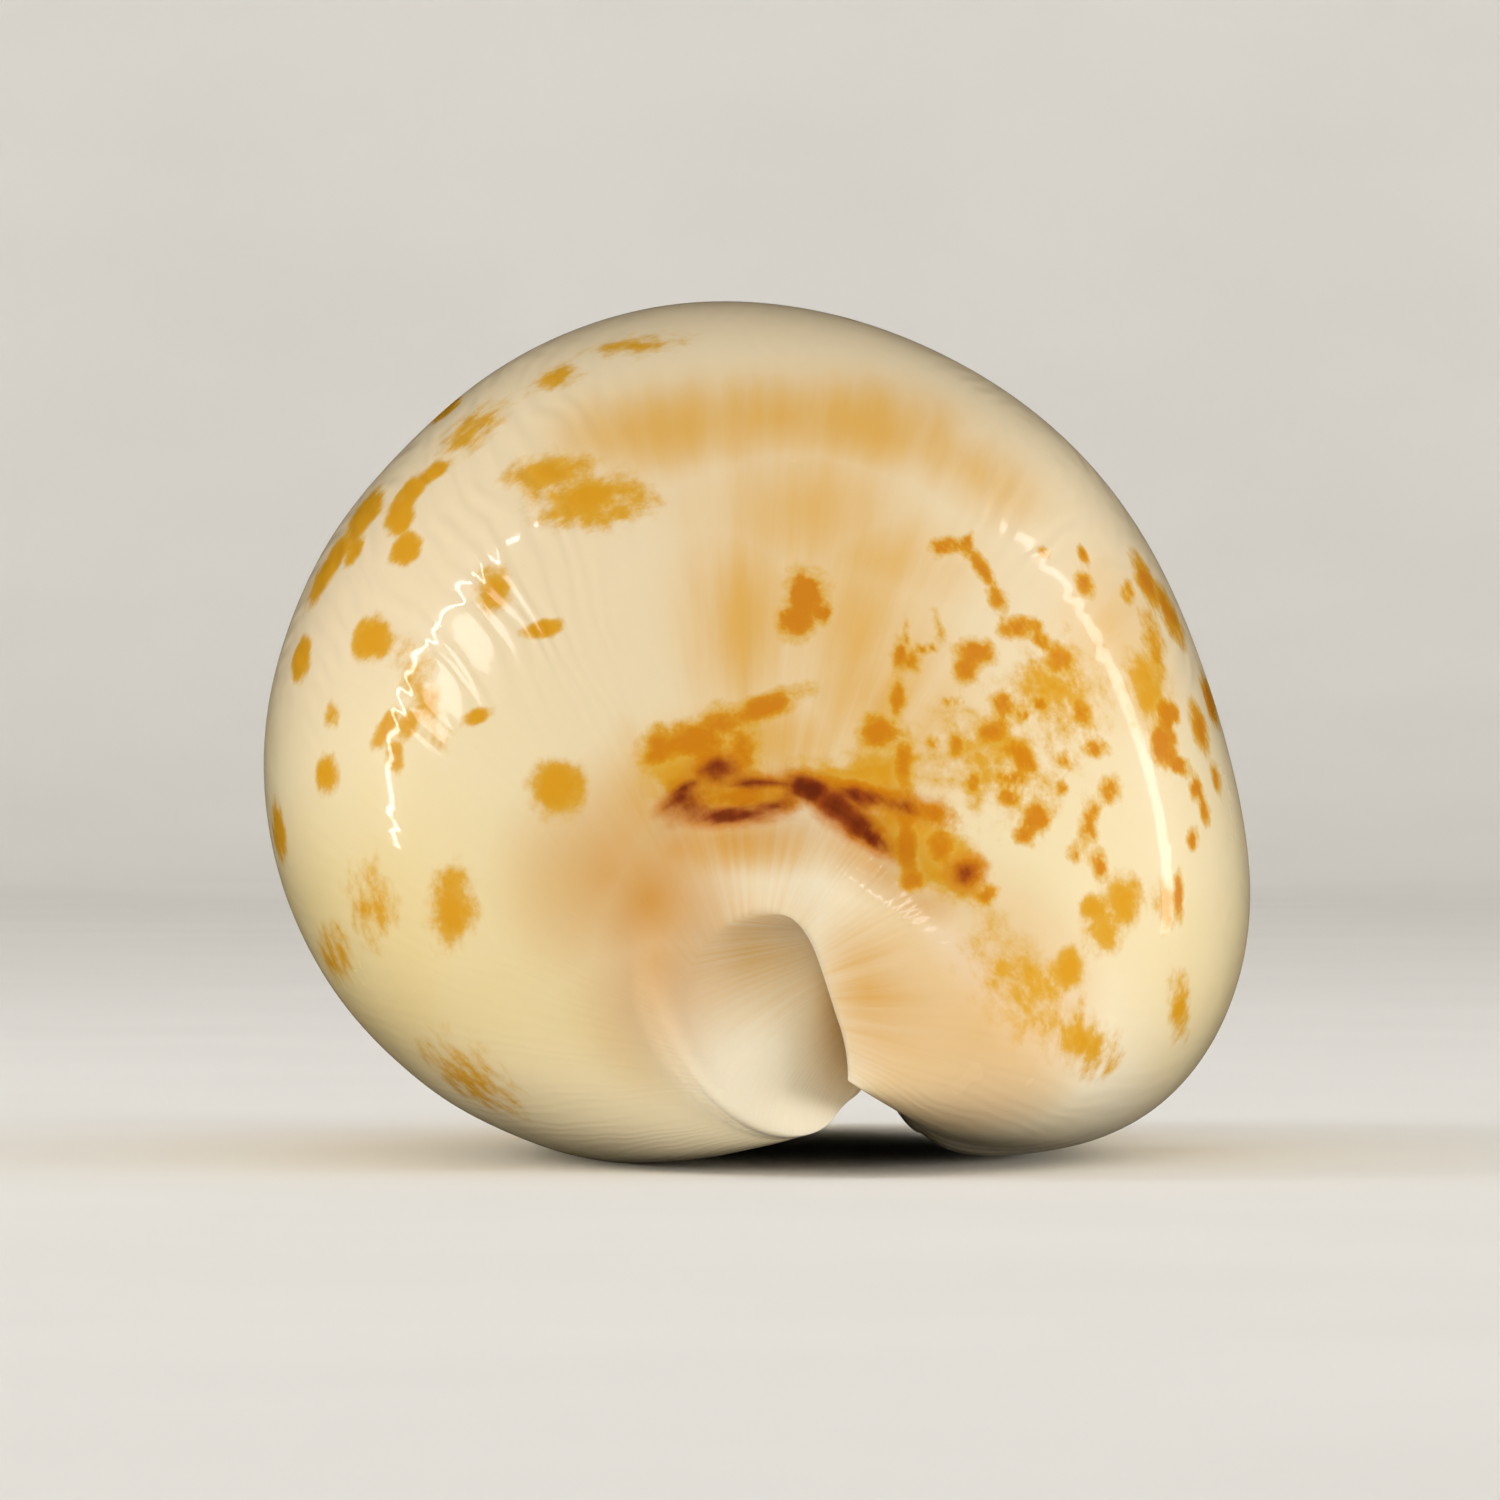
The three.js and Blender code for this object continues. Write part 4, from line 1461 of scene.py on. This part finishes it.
@dataclass
class Studio:
    """A pale round sweep of floor and wall, soft light from above, a strip at each side, and the camera."""

    floor_radius: float = 0.62
    bend_radius: float = 0.3
    wall_height: float = 0.7
    rings: int = 48
    spokes: int = 96
    drop: float = 0.00001
    paper: tuple[Colour, Colour] = (Colour(240, 238, 234), Colour(244, 242, 238))
    paper_waves: float = 30.0
    paper_roughness: float = 0.85
    paper_gloss: float = 0.2
    sensor_mm: float = 36.0
    near_clip: float = 0.01
    aim_height: float = 0.012
    lamps: tuple[Lamp, ...] = (
        Lamp("left_strip", (-0.26, 0.034, 0.15), (0.008, 0.3), 0.13, mirrored=True, level=True),
        Lamp("right_strip", (0.25, 0.1, 0.15), (0.022, 0.3), 0.09, mirrored=True, level=True),
        Lamp("high_box", (-0.255, -0.03, 0.16), (0.06, 0.08), 0.08, mirrored=True),
        Lamp("soft_top", (-0.05, -0.05, 0.62), (1.1, 1.0), 1.0),
        Lamp("fill", (0.0, -0.75, 0.13), (1.3, 0.24), 0.92),
        Lamp("low_left", (-0.6, -0.24, 0.08), (0.5, 0.15), 1.38),
        Lamp("low_right", (0.6, -0.24, 0.08), (0.5, 0.15), 2.4),
    )
    surroundings: Colour = Colour(250, 248, 244)
    world_strength: float = 0.5

    def profile(self, part: Grid) -> Plane:
        """The floor's profile along a radius: flat, then a quarter circle, then straight up.

        Args:
            part: How far along the profile, from 0 at the middle to 1 at the wall's top.

        Returns:
            The radius and the height of each place.
        """
        bend = self.bend_radius * math.pi / 2
        length = part * (self.floor_radius + bend + self.wall_height)
        turn = np.clip((length - self.floor_radius) / self.bend_radius, 0.0, math.pi / 2)
        radius = np.minimum(length, self.floor_radius) + self.bend_radius * np.sin(turn)
        upright = np.clip(length - self.floor_radius - bend, 0.0, None)
        rise = self.bend_radius * (1.0 - np.cos(turn)) + upright
        return radius, rise - self.drop

    def floor(self) -> bpy.types.Object:
        """The profile turned once round Z, closed at its middle.

        Returns:
            The floor.
        """
        radius, height = self.profile(np.linspace(0.0, 1.0, self.rings)[:, None])
        angle = np.linspace(0.0, 2.0 * math.pi, self.spokes, endpoint=False)[None, :]
        points = np.stack(np.broadcast_arrays(radius * np.cos(angle), radius * np.sin(angle), height), -1)
        number = np.arange(self.rings * self.spokes).reshape(self.rings, self.spokes)
        number[0] = 0
        here, out = number[:-1], number[1:]
        quads = np.stack([here, out, np.roll(out, -1, 1), np.roll(here, -1, 1)], -1).reshape(-1, 4)
        faces = [list(dict.fromkeys(quad)) for quad in quads.tolist()]
        mesh = bpy.data.meshes.new("floor")
        mesh.from_pydata(points.reshape(-1, 3).tolist(), [], faces)
        mesh.polygons.foreach_set("use_smooth", np.ones(len(faces), bool))
        floor = bpy.data.objects.new("floor", mesh)
        bpy.context.scene.collection.objects.link(floor)
        material = bpy.data.materials.new("pale_paper")
        graph = Graph(material)
        place = graph.add("ShaderNodeTexCoord").outputs["Object"]
        tone = graph.ramp(graph.noise(place, self.paper_waves, 2.0), 0.2, 0.8)
        colour = graph.blend(self.paper[0].linear(), self.paper[1].linear(), tone)
        shader = graph.add("ShaderNodeBsdfPrincipled")
        graph.feed(shader.inputs["Base Color"], colour)
        shader.inputs["Roughness"].default_value = self.paper_roughness
        shader.inputs["Specular IOR Level"].default_value = self.paper_gloss
        output = graph.add("ShaderNodeOutputMaterial")
        graph.feed(output.inputs["Surface"], shader.outputs["BSDF"])
        mesh.materials.append(material)
        floor.visible_glossy = False
        return floor

    def light(self, lamp: Lamp) -> bpy.types.Object:
        """Adds one of the studio's lights, turned to face the shell.

        Args:
            lamp: The light's place, size and power.

        Returns:
            The light.
        """
        data = bpy.data.lights.new(lamp.name, "AREA")
        data.shape = "RECTANGLE"
        data.size, data.size_y = lamp.size
        data.energy = lamp.power
        light = bpy.data.objects.new(lamp.name, data)
        bpy.context.scene.collection.objects.link(light)
        place = Vector(lamp.place)
        target = Vector((0.0, 0.0, place.z if lamp.level else self.aim_height))
        turn = (place - target).to_track_quat("Z", "Y").to_matrix().to_4x4()
        light.matrix_world = Matrix.Translation(place) @ turn
        light.visible_glossy = lamp.mirrored
        return light

    def surround(self) -> None:
        """The pale surroundings, as an even light that the glaze doesn't mirror."""
        world = bpy.data.worlds.new("studio")
        world.use_nodes = True
        background = world.node_tree.nodes["Background"]
        background.inputs["Color"].default_value = self.surroundings.linear()
        background.inputs["Strength"].default_value = self.world_strength
        world.cycles_visibility.glossy = False
        bpy.context.scene.world = world
        bpy.context.scene.view_settings.view_transform = "Standard"

    def camera(self, scale: Vector, shift: Vector) -> bpy.types.Object:
        """The camera at the photograph's place, looking along +Y at the shell's widest section.

        Args:
            scale: The shell's scale along each axis, from millimetres to the frame.
            shift: The shell's shift.

        Returns:
            The camera.
        """
        across = (PHOTO_CENTRE_PX[0] - PHOTO_ZERO_PX[0]) * PIXEL_MM
        up = (PHOTO_ZERO_PX[1] - PHOTO_CENTRE_PX[1]) * PIXEL_MM
        aim = Vector((across, ShellForm.widest_y, up)) * scale + shift
        data = bpy.data.cameras.new("camera")
        data.sensor_width = self.sensor_mm
        data.lens = self.sensor_mm * CAMERA_DISTANCE_MM / (PHOTO_WIDTH_PX * PIXEL_MM)
        data.clip_start = self.near_clip
        camera = bpy.data.objects.new("camera", data)
        bpy.context.scene.collection.objects.link(camera)
        place = aim - Vector((0.0, CAMERA_DISTANCE_MM * MM, 0.0))
        camera.matrix_world = Matrix.Translation(place) @ Matrix.Rotation(math.pi / 2, 4, "X")
        bpy.context.scene.camera = camera
        return camera


def main() -> None:
    """Builds the shell, then the studio round it."""
    logging.basicConfig(level=logging.INFO, format="%(name)s: %(message)s")
    cowrie = CowrieShell()
    shell, scale, shift = cowrie.build()
    cowrie.dress(shell)
    studio = Studio()
    studio.floor()
    for lamp in studio.lamps:
        studio.light(lamp)
    studio.surround()
    studio.camera(scale, shift)
    log.info("studio: %d lights", len(studio.lamps))


if __name__ == "__main__":
    main()
